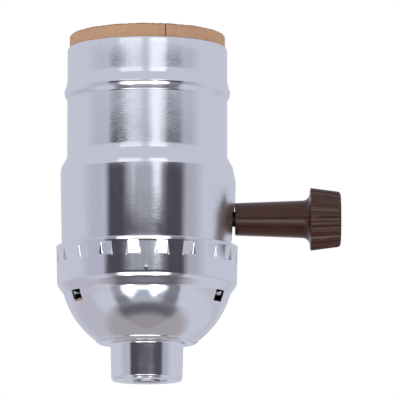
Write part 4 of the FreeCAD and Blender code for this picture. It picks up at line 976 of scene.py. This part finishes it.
    def dimple_push(self, angles, heights, s):
        """Depth of the dimples: a flat wedge that is deepest at its lower edge, between sloping sides.

        It is the smaller of the wedge's depth and a depth that grows inwards from the sides, blended where
        they meet, and it ends at the lower edge.
        """
        top = CAP_HIGH.z - s.dimple_drop
        low = top - s.dimple_height
        down = np.clip((top - heights) / s.dimple_height, 0, 1)
        edge = s.dimple_width / 2 - s.dimple_spread * (1 - down)
        sides = s.dimple_slope * np.maximum(edge - np.abs(self.from_dimple(angles, s)), 0)
        flattened = ((s.dimple_width / 2) ** 2 - self.from_dimple(angles, s) ** 2) / (2 * s.rim_radius)
        wedge = s.dimple_depth * down + np.maximum(flattened, 0) * smooth_step(down, 0, 0.15)
        blend = s.dimple_blend
        smaller = (sides + wedge + blend - np.sqrt((sides - wedge) ** 2 + blend ** 2)) / 2
        smaller = smaller - blend * np.exp(-np.minimum(sides, wedge) / blend) / 2
        floor = smooth_step(heights, low - LEDGE, low + LEDGE)
        return np.clip(smaller, 0, np.minimum(sides, wedge)) * floor

    def pip_push(self, angles, heights, s):
        """Height of the pip: a bell curve of the distance from its middle."""
        across = angle_between(angles, FRONT) * s.rim_radius
        distance = np.hypot(across, heights - s.pip_place)
        return s.pip_rise * np.exp(-(distance / (s.pip_radius * 0.6)) ** 2)


class HOLDER_OT_fibre(bpy.types.Operator):
    """Roll the fibre liner with its seam, and the fibre cup in the cap"""

    bl_idname = "holder.fibre"
    bl_label = "Fibre liner and cup"

    def execute(self, context):
        sizes = context.scene.lamp_holder
        self.liner(sizes.fibre, sizes.shell)
        self.cup(sizes.fibre, sizes.cap)
        return {"FINISHED"}

    def liner(self, s, shell):
        """A tube with a seam, cut on a slope at the top, with the same slot for the stem as the shell."""
        outside = LINER_HIGH.y
        slot = shell.slot_radius - 0.1 * MM
        side = asin(slot / outside)
        seam = FRONT + radians(s.seam_turn)
        gap = s.seam / 2 / outside
        angles = around(280, (-side, side, seam), 0.06, 4.0)
        angles = moved_onto(angles, (-side, side, seam - gap, seam + gap))
        # the rows crowd below the slot's top and towards the cut edge
        share_up = np.concatenate([
            np.linspace(0, 0.05, 2), np.linspace(0.1, 0.36, 22), np.linspace(0.4, 0.9, 12),
            1 - 0.09 * (1 - np.linspace(0, 1, 10)) ** 2,
        ])
        slot_top = (SHAFT_Z + slot - LINER_LOW.z) / (LINER_HIGH.z - LINER_LOW.z)
        share_up = moved_onto(share_up, [slot_top])[:, None]
        fall = s.liner_fall * (1 + np.sin(angles)) / 2
        raggedness, bevel, bevel_from = 0.05 * MM, 0.16 * MM, 0.9955
        ragged = raggedness * (np.sin(23 * angles) + np.sin(41 * angles + 1.0)) * (share_up > 0.95)
        heights = LINER_LOW.z + share_up * (LINER_HIGH.z - LINER_LOW.z)
        level = SHAFT_Z + 6 * MM
        above = np.clip((heights - level) / (LINER_HIGH.z - level), 0, 1)
        heights = heights - fall * above - np.abs(ragged)
        edge = np.clip((share_up - bevel_from) / (1 - bevel_from), 0, 1) * bevel
        inside = outside - s.liner_wall
        outer = lathe(outside - edge, heights, angles)
        inner = lathe(inside + edge, heights, angles)
        surfaces = [round_slot(points, angles, slot) for points in (outer, inner)]
        middle = LINER_LOW.z + middles(share_up) * (LINER_HIGH.z - LINER_LOW.z)
        facing = column_middles(angles)
        open_slot = (middle < SHAFT_Z + slot) & (np.abs(facing) < side)[None, :]
        open_seam = np.abs(angle_between(facing, seam))[None, :] < gap
        piece = sheet_piece("liner_rolled", *surfaces, kept=~(open_slot | open_seam))
        finish_piece(piece, "Fibre board", "fibre", "holder", "insulating_liner")

    def cup(self, s, cap):
        """A pressed cup that follows the dome, with an unevenly cut upper edge."""
        centre = dome_centre(cap)
        outside = cap.dome_radius - cap.sheet - 0.1 * MM
        angles = around(160)
        cut = s.cup_level - s.cup_lean * np.cos(angles) + 0.06 * MM * np.sin(angles * 31)
        heights = CUP_LOW.z + np.linspace(0, 1, 20)[:, None] * (cut - CUP_LOW.z)
        surfaces = []
        for radius in (outside, outside - s.cup_wall):
            surfaces.append(lathe(np.sqrt(radius ** 2 - (centre - heights) ** 2), heights, angles))
        piece = sheet_piece("cup_pressed", *surfaces)
        finish_piece(piece, "Fibre board", "cap_fibre", "holder", "cap_insulator")


class HOLDER_OT_knob(bpy.types.Operator):
    """Mould the fluted knob"""

    bl_idname = "holder.knob"
    bl_label = "Knob"

    def execute(self, context):
        s = context.scene.lamp_holder.knob
        start, end = KNOB_LOW.x, KNOB_HIGH.x
        head_radius = (KNOB_HIGH.z - KNOB_LOW.z) / 2
        neck = start + s.shank_length
        flare_end = s.neck_radius + s.flare_radius
        head = neck + s.flare_radius + s.flare_rim
        end_radius = head_radius - s.head_taper
        edge = s.edge_radius
        bevel, tip = 0.2 * MM, 0.3 * MM
        outside = np.concatenate([
            corners((s.shank_radius - bevel, start), (s.shank_radius, start + bevel), (s.neck_radius, neck)),
            bend((flare_end, neck), s.flare_radius, 180, 90),
            corners((flare_end, neck + s.flare_radius), (head_radius, head), (end_radius, end - edge)),
            bend((end_radius - edge, end - edge), edge, 0, 90),
            corners((end_radius - edge, end), (tip, end)),
        ])
        bore = corners((tip, start + s.bore_length), (s.bore_radius, start + s.bore_length),
                       (s.bore_radius, start), (s.shank_radius - bevel, start))
        path = np.concatenate([bore, softened(outside, 0.07 * MM)])
        places = row_places(path, 0.55 * MM, radians(9))
        rows = picked(path, places)
        per_flute = np.array([-0.5, -0.455, -0.41, -0.36, -0.28, -0.18, -0.08, 0.02, 0.12, 0.22, 0.31, 0.38,
                              0.425, 0.465])
        period = 2 * pi / s.flutes
        angles = np.concatenate([(step + per_flute) * period for step in range(s.flutes)])
        across = (angles + period / 2) % period - period / 2
        taper = s.head_taper / (end - edge - head)
        axis = head_radius + s.flute_radius - s.flute_depth - taper * (rows[:, 1:] - head)
        room = s.flute_radius ** 2 - (axis * np.sin(across)) ** 2
        cutter = axis * np.cos(across) - np.sqrt(np.maximum(room, 0))
        cutter = np.where((room > 0) & (rows[:, 1:] > head - 0.5 * MM), cutter, head_radius * 2)
        turned = np.broadcast_to(rows[:, :1], cutter.shape)
        smaller = np.minimum(turned, cutter)
        far = 30  # at this many times the crest softness the rounding is nothing
        blend = np.minimum(np.abs(turned - cutter) / s.crest, far)
        radius = smaller - s.crest * np.log1p(np.exp(-blend)) * (blend < far)
        rings = along_shaft(lathe(radius, rows[:, 1:], angles))
        piece = solid_piece("knob_moulded", rings, sharp=radians(50))
        finish_piece(piece, "Brown plastic", "knob_plastic", "switch", "knob")
        return {"FINISHED"}


class HOLDER_OT_socket(bpy.types.Operator):
    """Roll the lamp's screw shell and bend the centre contact"""

    bl_idname = "holder.socket"
    bl_label = "Screw shell and centre contact"

    def execute(self, context):
        s = context.scene.lamp_holder.socket
        self.screw_shell(s)
        self.centre_contact(s)
        return {"FINISHED"}

    def screw_shell(self, s):
        """Floor, wall and lip in one sheet.

        The wall swings in and out along a helix that fades at its ends.
        """
        low, top = SOCKET_LOW.z, SOCKET_HIGH.z
        floor = low + 0.4 * MM
        wall_top = top - s.lip_height
        sheet, lip_outside = s.socket_sheet, SOCKET_HIGH.y
        flange, curl = s.thread_radius + 0.6 * MM, 0.3 * MM
        outside = corners(
            (s.floor_hole, low), (flange, low), (flange, floor), (s.thread_radius + sheet, floor + 0.25 * MM),
            (s.thread_radius + sheet, wall_top - 0.2 * MM), (lip_outside, wall_top + 0.25 * MM),
            (lip_outside, top - curl), (lip_outside - curl, top), (lip_outside - 0.42 * MM, top))
        inside = corners(
            (s.floor_hole, floor), (s.thread_radius, floor), (s.thread_radius, wall_top - 0.3 * MM),
            (s.lip_radius, wall_top + 0.1 * MM), (s.lip_radius, top - curl), (s.lip_radius + curl, top),
            (s.lip_radius + 0.4 * MM, top))
        outside, inside = softened(outside, 0.08 * MM), softened(inside, 0.08 * MM)
        angles = around(192)
        thread_low, thread_high = floor + 0.6 * MM, wall_top - 0.35 * MM
        floor_rows, thread_rows, lip_rows = 14, 96, 22
        surfaces = []
        for path in (outside, inside):
            first, last = at_height(path, thread_low), at_height(path, thread_high)
            places = np.concatenate([np.linspace(0, first, floor_rows, endpoint=False),
                                     np.linspace(first, last, thread_rows, endpoint=False),
                                     np.linspace(last, len(path) - 1, lip_rows)])
            rows = picked(path, places)
            along = rows[:, 1:]
            fade = within(along, floor, wall_top, s.thread_pitch / 2)
            fade = fade * (rows[:, :1] > s.thread_radius - 0.3 * MM)
            swing = 1 - np.cos(2 * pi * (along - floor) / s.thread_pitch - angles)
            surfaces.append(lathe(rows[:, :1] - s.thread_depth / 2 * swing * fade, along, angles))
        piece = sheet_piece("screw_shell_rolled", *surfaces)
        finish_piece(piece, "Rolled aluminium", "screw_shell_metal", "holder", "screw_shell")

    def centre_contact(self, s):
        """A strip carried along a bent path: a rounded rectangle stands across the path at each step."""
        sheet, half = s.strip_sheet, STRIP_HIGH.x
        crest = STRIP_HIGH.z - sheet / 2
        seat = crest - s.tongue_rise
        leaf = STRIP_HIGH.y - sheet / 2
        reach = STRIP_LOW.y + sheet / 2
        tip = (reach, crest - sheet * 1.2)
        rise_from, rise_to, fall_from = -reach * 0.42, reach * 0.25, reach * 0.46
        path = corners((leaf, STRIP_LOW.z), (leaf, seat), (rise_from, seat), (rise_to, crest),
                       (fall_from, crest), tip)
        path = softened(np.concatenate([path, [tip]]), 0.35 * MM)
        places = row_places(path, 1.0 * MM, radians(6))
        rows, normals = picked(path, places), picked(outward(path), places)
        turns = np.linspace(0, 2 * pi, 24, endpoint=False)
        roundness = 0.35  # 1 gives an ellipse, 0 a rectangle
        squared = [np.sign(wave) * np.abs(wave) ** roundness for wave in (np.cos(turns), np.sin(turns))]
        ends = np.minimum(np.minimum(np.arange(len(rows)), np.arange(len(rows))[::-1]) / 2.0, 1)
        wide = half * (1 - 0.12 * (1 - ends))[:, None]
        x = wide * squared[0][None, :]
        offset = (sheet / 2 * squared[1])[None, :]
        y = rows[:, :1] + normals[:, :1] * offset
        z = rows[:, 1:] + normals[:, 1:] * offset
        rings = np.stack([np.broadcast_to(x, y.shape), y, z], axis=-1)
        piece = solid_piece("centre_contact_bent", rings, sharp=radians(50))
        finish_piece(piece, "Contact brass", "brass", "holder", "centre_contact")


class HOLDER_OT_bushing(bpy.types.Operator):
    """Turn the threaded bushing"""

    bl_idname = "holder.bushing"
    bl_label = "Bushing"

    def execute(self, context):
        s = context.scene.lamp_holder.socket
        height = CAP_LOW.z + context.scene.lamp_holder.cap.bottom_lift - 0.02 * MM
        top, edge, hole = BUSHING_HIGH.z, s.bushing_edge, s.set_screw_radius
        side_top = height - s.bushing_fillet
        path = self.profile(s, height)
        hole_low, hole_high = s.set_screw_place - hole, s.set_screw_place + hole
        places = row_places(path, 0.35 * MM, radians(12), finer=((edge, side_top, 0.11 * MM),))
        side_low, side_high = at_height(path, edge), at_height(path, side_top)
        places = moved_onto(places, [at_height(path, hole_low), at_height(path, hole_high)])
        rows = picked(path, places)
        bore_z = np.interp(places, [0, side_low, side_high, len(path) - 1],
                           [0.3 * MM, edge + 0.05 * MM, side_top, top - 0.15 * MM])
        on_side = (places > side_low) & (places < side_high)
        bore_z = np.where(on_side, rows[:, 1], bore_z)[:, None]
        half_outside, half_bore = asin(hole / s.bushing_radius), asin(hole / s.bushing_bore)
        sides = (BACK - half_outside, BACK + half_outside)
        angles = moved_onto(around(168, sides, 0.12, 2.5), sides)
        away = angle_between(angles, BACK)
        bore_away = np.interp(away, [-pi, -half_outside, half_outside, pi], [-pi, -half_bore, half_bore, pi])
        fade = within(bore_z, 0.2 * MM, top - 0.2 * MM, 0.7 * MM)
        groove = (1 + np.cos(2 * pi * bore_z / s.pipe_pitch - bore_away)) / 2
        outer = lathe(rows[:, :1], rows[:, 1:], angles)
        inner = lathe(s.bushing_bore + s.pipe_depth * groove * fade, bore_z, bore_away + BACK)
        for points in (outer, inner):
            turned = np.arctan2(points[..., 1], points[..., 0])
            at_back = (np.abs(angle_between(turned, BACK)) < HOLE_FACING) & on_side[:, None]
            round_hole(points, at_back, 0, 1, s.set_screw_place, hole)
        middle = middles(rows[:, 1])[:, None]
        facing = column_middles(away)[None, :]
        in_hole = (middle > hole_low) & (middle < hole_high) & (np.abs(facing) < half_outside)
        in_hole &= (on_side[1:] & on_side[:-1])[:, None]
        piece = sheet_piece("bushing_turned", outer, inner, kept=~in_hole, sharp=radians(35))
        finish_piece(piece, "Turned aluminium", "bushing_metal", "holder", "bushing")
        return {"FINISHED"}

    def profile(self, s, height):
        """Outside of the bushing, from its lower face up the side and over the flange in the cap."""
        radius, top, body, fillet = BUSHING_HIGH.x, BUSHING_HIGH.z, s.bushing_radius, s.bushing_fillet
        edge, foot = s.bushing_edge, body - s.bushing_draft
        seat, chamfer = height + 0.5 * MM, 0.3 * MM
        face_start = s.bushing_bore + 0.35 * MM
        return softened(np.concatenate([
            corners((face_start, 0), (foot - edge * 0.5, 0), (foot - edge * 0.4, 0.1 * MM),
                    (foot - edge * 0.38, 0.22 * MM), (foot, edge), (body, height - fillet)),
            bend((body + fillet, height - fillet), fillet, 180, 90),
            corners((body + fillet, height), (s.bushing_neck, height), (s.bushing_neck, seat),
                    (radius, seat), (radius, top - chamfer), (radius - chamfer, top), (face_start, top)),
        ]), 0.07 * MM)


# Finish of each CAD node that keeps its own mesh
SMALL_PIECES = {
    "Plated steel": ("set_screw", "shell_screws", "shaft_clip", "detent_spring", "detent_cam"),
    "Contact brass": ("contact_rivet", "line_screw", "line_terminal", "bridge_contact"),
    "Nickel plate": ("body_rivets", "neutral_screw", "neutral_terminal"),
    # The switch shaft gets the near-black steel, whose darkness is painted shade and painted reflection
    "Oiled steel": ("switch_shaft",),
    "Phenolic": ("switch_rotor", "body_base", "body_top"),
}


class HOLDER_OT_inner_parts(bpy.types.Operator):
    """Give the moulded body, the switch and the fasteners their finishes"""

    bl_idname = "holder.inner_parts"
    bl_label = "Body, switch and fasteners"

    def execute(self, context):
        for material, names in SMALL_PIECES.items():
            for name in names:
                dress(name, material)
        return {"FINISHED"}


# The studio as the metal mirrors it: azimuth from the camera's side to the right, then elevation, in degrees
STUDIO = [
    # name, azimuth, half width, elevation, half height, softness across, softness up, colour
    ("lower room", 0, 181, -55.0, 42.0, 10, 10.0, (0.50, 0.49, 0.57)),
    ("right table", 90, 60, -40.0, 20.0, 12, 6.0, (0.58, 0.60, 0.70)),
    ("left table", -70, 20, -35.0, 12.0, 10, 6.0, (0.58, 0.60, 0.70)),
    ("back light", 180, 24, 5.0, 40.0, 14, 15.0, (0.56, 0.58, 0.67)),
    ("back pole", 173, 4, -27.0, 22.0, 2, 3.0, (0.10, 0.10, 0.12)),
    ("left shade", -70, 16, -1.15, 10.85, 12, 0.6, (0.47, 0.47, 0.58)),
    ("right shade", 61, 13, -1.15, 10.85, 12, 0.6, (0.42, 0.415, 0.505)),
    ("front shade", -2, 49, 1.05, 7.8, 5, 0.6, (0.40, 0.41, 0.475)),
    ("front haze", -2, 49, -1.1, 5.6, 5, 1.6, (0.07, 0.065, 0.085)),
    ("left haze", -24, 8, -0.6, 6.1, 10, 1.1, (0.09, 0.085, 0.11)),
    ("right haze", 18, 6, -0.6, 6.1, 8, 1.1, (0.09, 0.085, 0.11)),
    ("left low flag", -41, 12, -25.0, 14.5, 5, 2.5, (0.31, 0.31, 0.36)),
    ("right low flag", 38, 13, -25.0, 14.5, 4, 2.5, (0.22, 0.22, 0.26)),
    ("left dark flag", -41, 13, -44.0, 8.0, 7, 4.0, (0.21, 0.21, 0.245)),
    ("right dark flag", 40, 14, -44.0, 8.0, 7, 4.0, (0.19, 0.19, 0.23)),
    ("left flag", -40.8, 13.2, -0.4, 9.6, 6, 0.6, (0.07, 0.065, 0.085)),
    ("right flag", 36.8, 14.2, -0.4, 9.6, 7, 0.6, (0.07, 0.065, 0.085)),
    ("left strip", -21, 12.5, 14.5, 5.5, 6, 0.45, (0.90, 0.94, 1.06)),
    ("left strip foot", -18, 2.5, 7.4, 1.6, 3, 0.9, (0.56, 0.58, 0.66)),
    ("middle strip", 15.2, 11.2, 14.35, 5.6, 6, 0.6, (1.03, 1.05, 1.17)),
    ("middle strip foot", 13.2, 5.0, 7.4, 1.85, 4.5, 0.9, (0.95, 0.97, 1.09)),
    ("front band", -6, 34, 21.0, 10.0, 4, 3.0, (0.60, 0.62, 0.72)),
    ("front band left", -23.5, 16.5, 21.0, 10.0, 4, 3.0, (0.90, 0.92, 1.0)),
    ("front band right", 16, 12, 21.0, 10.0, 4, 3.0, (1.05, 1.07, 1.15)),
    ("table glow", -2, 30, -31.5, 10.0, 6, 6.0, (0.36, 0.42, 0.52)),
    ("white table edge", -3, 33, -19.2, 10.7, 5, 3.0, (2.0, 2.0, 2.07)),
    ("white table left", -26, 9, -21.5, 13.0, 6, 4.0, (2.0, 2.0, 2.07)),
    ("white table right", 15, 9, -21.0, 12.5, 6, 4.0, (2.0, 2.0, 2.07)),
    ("left lamp", -26, 3, -23.2, 15.2, 6, 5.0, (3.5, 3.5, 3.6)),
    ("right lamp", 12, 3, -23.2, 15.2, 5, 5.0, (3.5, 3.5, 3.6)),
    ("floor", 0, 181, -76.0, 26.0, 10, 8.0, (0.385, 0.36, 0.39)),
    ("floor middle", 0, 64, -76.0, 26.0, 12, 8.0, (0.32, 0.30, 0.325)),
    ("dark table", 1.5, 64, -56.5, 8.0, 15, 6.0, (0.125, 0.125, 0.155)),
]

# Soft lamps: name, place, size and power
LAMPS = (
    ("key", (-0.5, -0.6, 0.7), 0.5, 2.4),
    ("rim", (0.6, 0.3, 0.5), 0.4, 1.2),
)

FLOOR_HALF = 3.0  # metres from the middle of the floor to its sides


class HOLDER_OT_stage(bpy.types.Operator):
    """Set up the floor, the studio light and the camera"""

    bl_idname = "holder.stage"
    bl_label = "Stage"

    def execute(self, context):
        s = context.scene.lamp_holder.stage
        context.scene.view_settings.view_transform = "Standard"
        self.floor()
        self.make_card_group()
        self.world(context.scene, s)
        self.lamps()
        self.camera(context.scene, s)
        return {"FINISHED"}

    def floor(self):
        """A pale floor that is seen only from above, and neither mirrored nor in the way of light."""
        points = [(x * FLOOR_HALF, y * FLOOR_HALF, 0) for x, y in ((-1, -1), (1, -1), (1, 1), (-1, 1))]
        mesh = bpy.data.meshes.new("floor")
        mesh.from_pydata(points, [], [(0, 1, 2, 3)])
        floor = bpy.data.objects.new("floor", mesh)
        bpy.context.scene.collection.objects.link(floor)
        tree, surface, _ = new_material("Pale floor")
        surface["Base Color"].default_value = (0.9, 0.9, 0.9, 1.0)
        surface["Roughness"].default_value = 0.9
        surface["Specular IOR Level"].default_value = 0.1
        rays = tree.node("LightPath").outputs
        behind = tree.node("NewGeometry").outputs["Backfacing"]
        hidden = tree.sum("MAXIMUM", rays["Is Glossy Ray"], rays["Is Shadow Ray"])
        hidden = tree.sum("MAXIMUM", hidden, behind)
        out, shader = tree.find("OUTPUT_MATERIAL"), tree.find("BSDF_PRINCIPLED").outputs[0]
        clear = tree.node("BsdfTransparent").outputs[0]
        tree.feed(out.inputs["Surface"], tree.node("MixShader", {0: hidden, 1: shader, 2: clear}).outputs[0])
        mesh.materials.append(bpy.data.materials["Pale floor"])

    def make_card_group(self):
        """Studio card: 1 inside a patch of directions, fading to 0 over its soft edge."""
        tree, given, made = new_group(
            "Studio card",
            {"Azimuth": ("Float", 0.0), "Elevation": ("Float", 0.0), "Centre": ("Float", 0.0),
             "Half width": ("Float", 10.0), "Height": ("Float", 0.0), "Half height": ("Float", 10.0),
             "Soft across": ("Float", 5.0), "Soft up": ("Float", 5.0)},
            {"Mask": "Float"},
        )
        aside = tree.sum("WRAP", tree.sum("SUBTRACT", given["Azimuth"], given["Centre"]), 180.0, -180.0)
        masks = []
        for away, half, soft in ((aside, "Half width", "Soft across"),
                                 (tree.sum("SUBTRACT", given["Elevation"], given["Height"]), "Half height",
                                  "Soft up")):
            low = tree.sum("SUBTRACT", given[half], given[soft])
            high = tree.sum("ADD", given[half], given[soft])
            masks.append(tree.between(tree.sum("ABSOLUTE", away), low, high, 1.0, 0.0))
        tree.feed(made["Mask"], tree.sum("MULTIPLY", *masks))

    def world(self, scene, s):
        """White for the camera, the studio's cards for mirrored rays and an even light for the rest."""
        world = bpy.data.worlds.new("Studio")
        scene.world = world
        world.use_nodes = True
        world.node_tree.nodes.clear()
        tree = Tree(world.node_tree)
        way = tree.node("SeparateXYZ", {0: tree.node("TexCoord").outputs["Generated"]}).outputs
        azimuth = tree.sum("DEGREES", tree.sum("ARCTAN2", way["X"], tree.sum("MULTIPLY", way["Y"], -1.0)))
        elevation = tree.sum("DEGREES", tree.sum("ARCSINE", way["Z"]))
        shade = tuple(s.surround)
        for name, centre, half_width, height, half_height, soft_across, soft_up, tint in STUDIO:
            card = tree.group("Studio card", Azimuth=azimuth, Elevation=elevation, Centre=centre,
                              Half_width=half_width, Height=height, Half_height=half_height,
                              Soft_across=soft_across, Soft_up=soft_up)
            card.label = name
            shade = tree.mixed(card.outputs[0], shade, (*tint, 1.0))
        rays = tree.node("LightPath").outputs
        mirrored = tree.node("Background", {"Color": shade, "Strength": 1.0}).outputs[0]
        even = tree.node("Background", {"Color": WHITE, "Strength": s.fill}).outputs[0]
        plain = tree.node("Background", {"Color": WHITE, "Strength": 1.0}).outputs[0]
        lit = tree.node("MixShader", {0: rays["Is Glossy Ray"], 1: even, 2: mirrored}).outputs[0]
        seen = tree.node("MixShader", {0: rays["Is Camera Ray"], 1: lit, 2: plain}).outputs[0]
        tree.feed(tree.node("OutputWorld").inputs["Surface"], seen)

    def lamps(self):
        """Two large soft lamps that give the matt pieces some shape, and aren't mirrored."""
        for name, place, size, power in LAMPS:
            light = bpy.data.lights.new(name, "AREA")
            light.size = size
            light.energy = power
            lamp = bpy.data.objects.new(name, light)
            lamp.location = place
            lamp.rotation_euler = Vector(place).to_track_quat("Z", "Y").to_euler()
            lamp.visible_glossy = False
            bpy.context.scene.collection.objects.link(lamp)

    def camera(self, scene, s):
        """A camera at the photograph's angle, a little below the middle of the holder."""
        lens = bpy.data.cameras.new("camera")
        lens.lens = s.focal
        lens.sensor_width = 36.0
        camera = bpy.data.objects.new("camera", lens)
        scene.collection.objects.link(camera)
        aim = Vector((s.aim_x, 0.0, s.aim_z))
        way = Vector((0.0, -cos(radians(s.elevation)), sin(radians(s.elevation))))
        camera.location = aim + way * s.distance
        camera.rotation_euler = way.to_track_quat("Z", "Y").to_euler()
        scene.camera = camera


class HOLDER_PT_panel(bpy.types.Panel):
    """Lists the steps that build the lamp holder."""

    bl_label = "Lamp holder"
    bl_idname = "HOLDER_PT_panel"
    bl_space_type = "VIEW_3D"
    bl_region_type = "UI"
    bl_category = "Lamp holder"

    def draw(self, context):
        for step in STEPS:
            self.layout.operator(step.bl_idname, text=step.bl_label)


SETTINGS = (ShellSizes, CapSizes, FibreSizes, KnobSizes, SocketSizes, Finishes, StageSettings, LampHolder)
STEPS = (HOLDER_OT_finishes, HOLDER_OT_shell, HOLDER_OT_cap, HOLDER_OT_fibre, HOLDER_OT_knob,
         HOLDER_OT_socket, HOLDER_OT_bushing, HOLDER_OT_inner_parts, HOLDER_OT_stage)


def register():
    """Register the settings, the steps and the panel."""
    for kind in SETTINGS + STEPS + (HOLDER_PT_panel,):
        bpy.utils.register_class(kind)
    bpy.types.Scene.lamp_holder = PointerProperty(type=LampHolder)


def unregister():
    """Take away what register adds."""
    del bpy.types.Scene.lamp_holder
    for kind in reversed(SETTINGS + STEPS + (HOLDER_PT_panel,)):
        bpy.utils.unregister_class(kind)


def main():
    """Build the lamp holder and its stage."""
    register()
    bpy.ops.holder.finishes()
    bpy.ops.holder.shell()
    bpy.ops.holder.cap()
    bpy.ops.holder.fibre()
    bpy.ops.holder.knob()
    bpy.ops.holder.socket()
    bpy.ops.holder.bushing()
    bpy.ops.holder.inner_parts()
    bpy.ops.holder.stage()


if __name__ == "__main__":
    main()
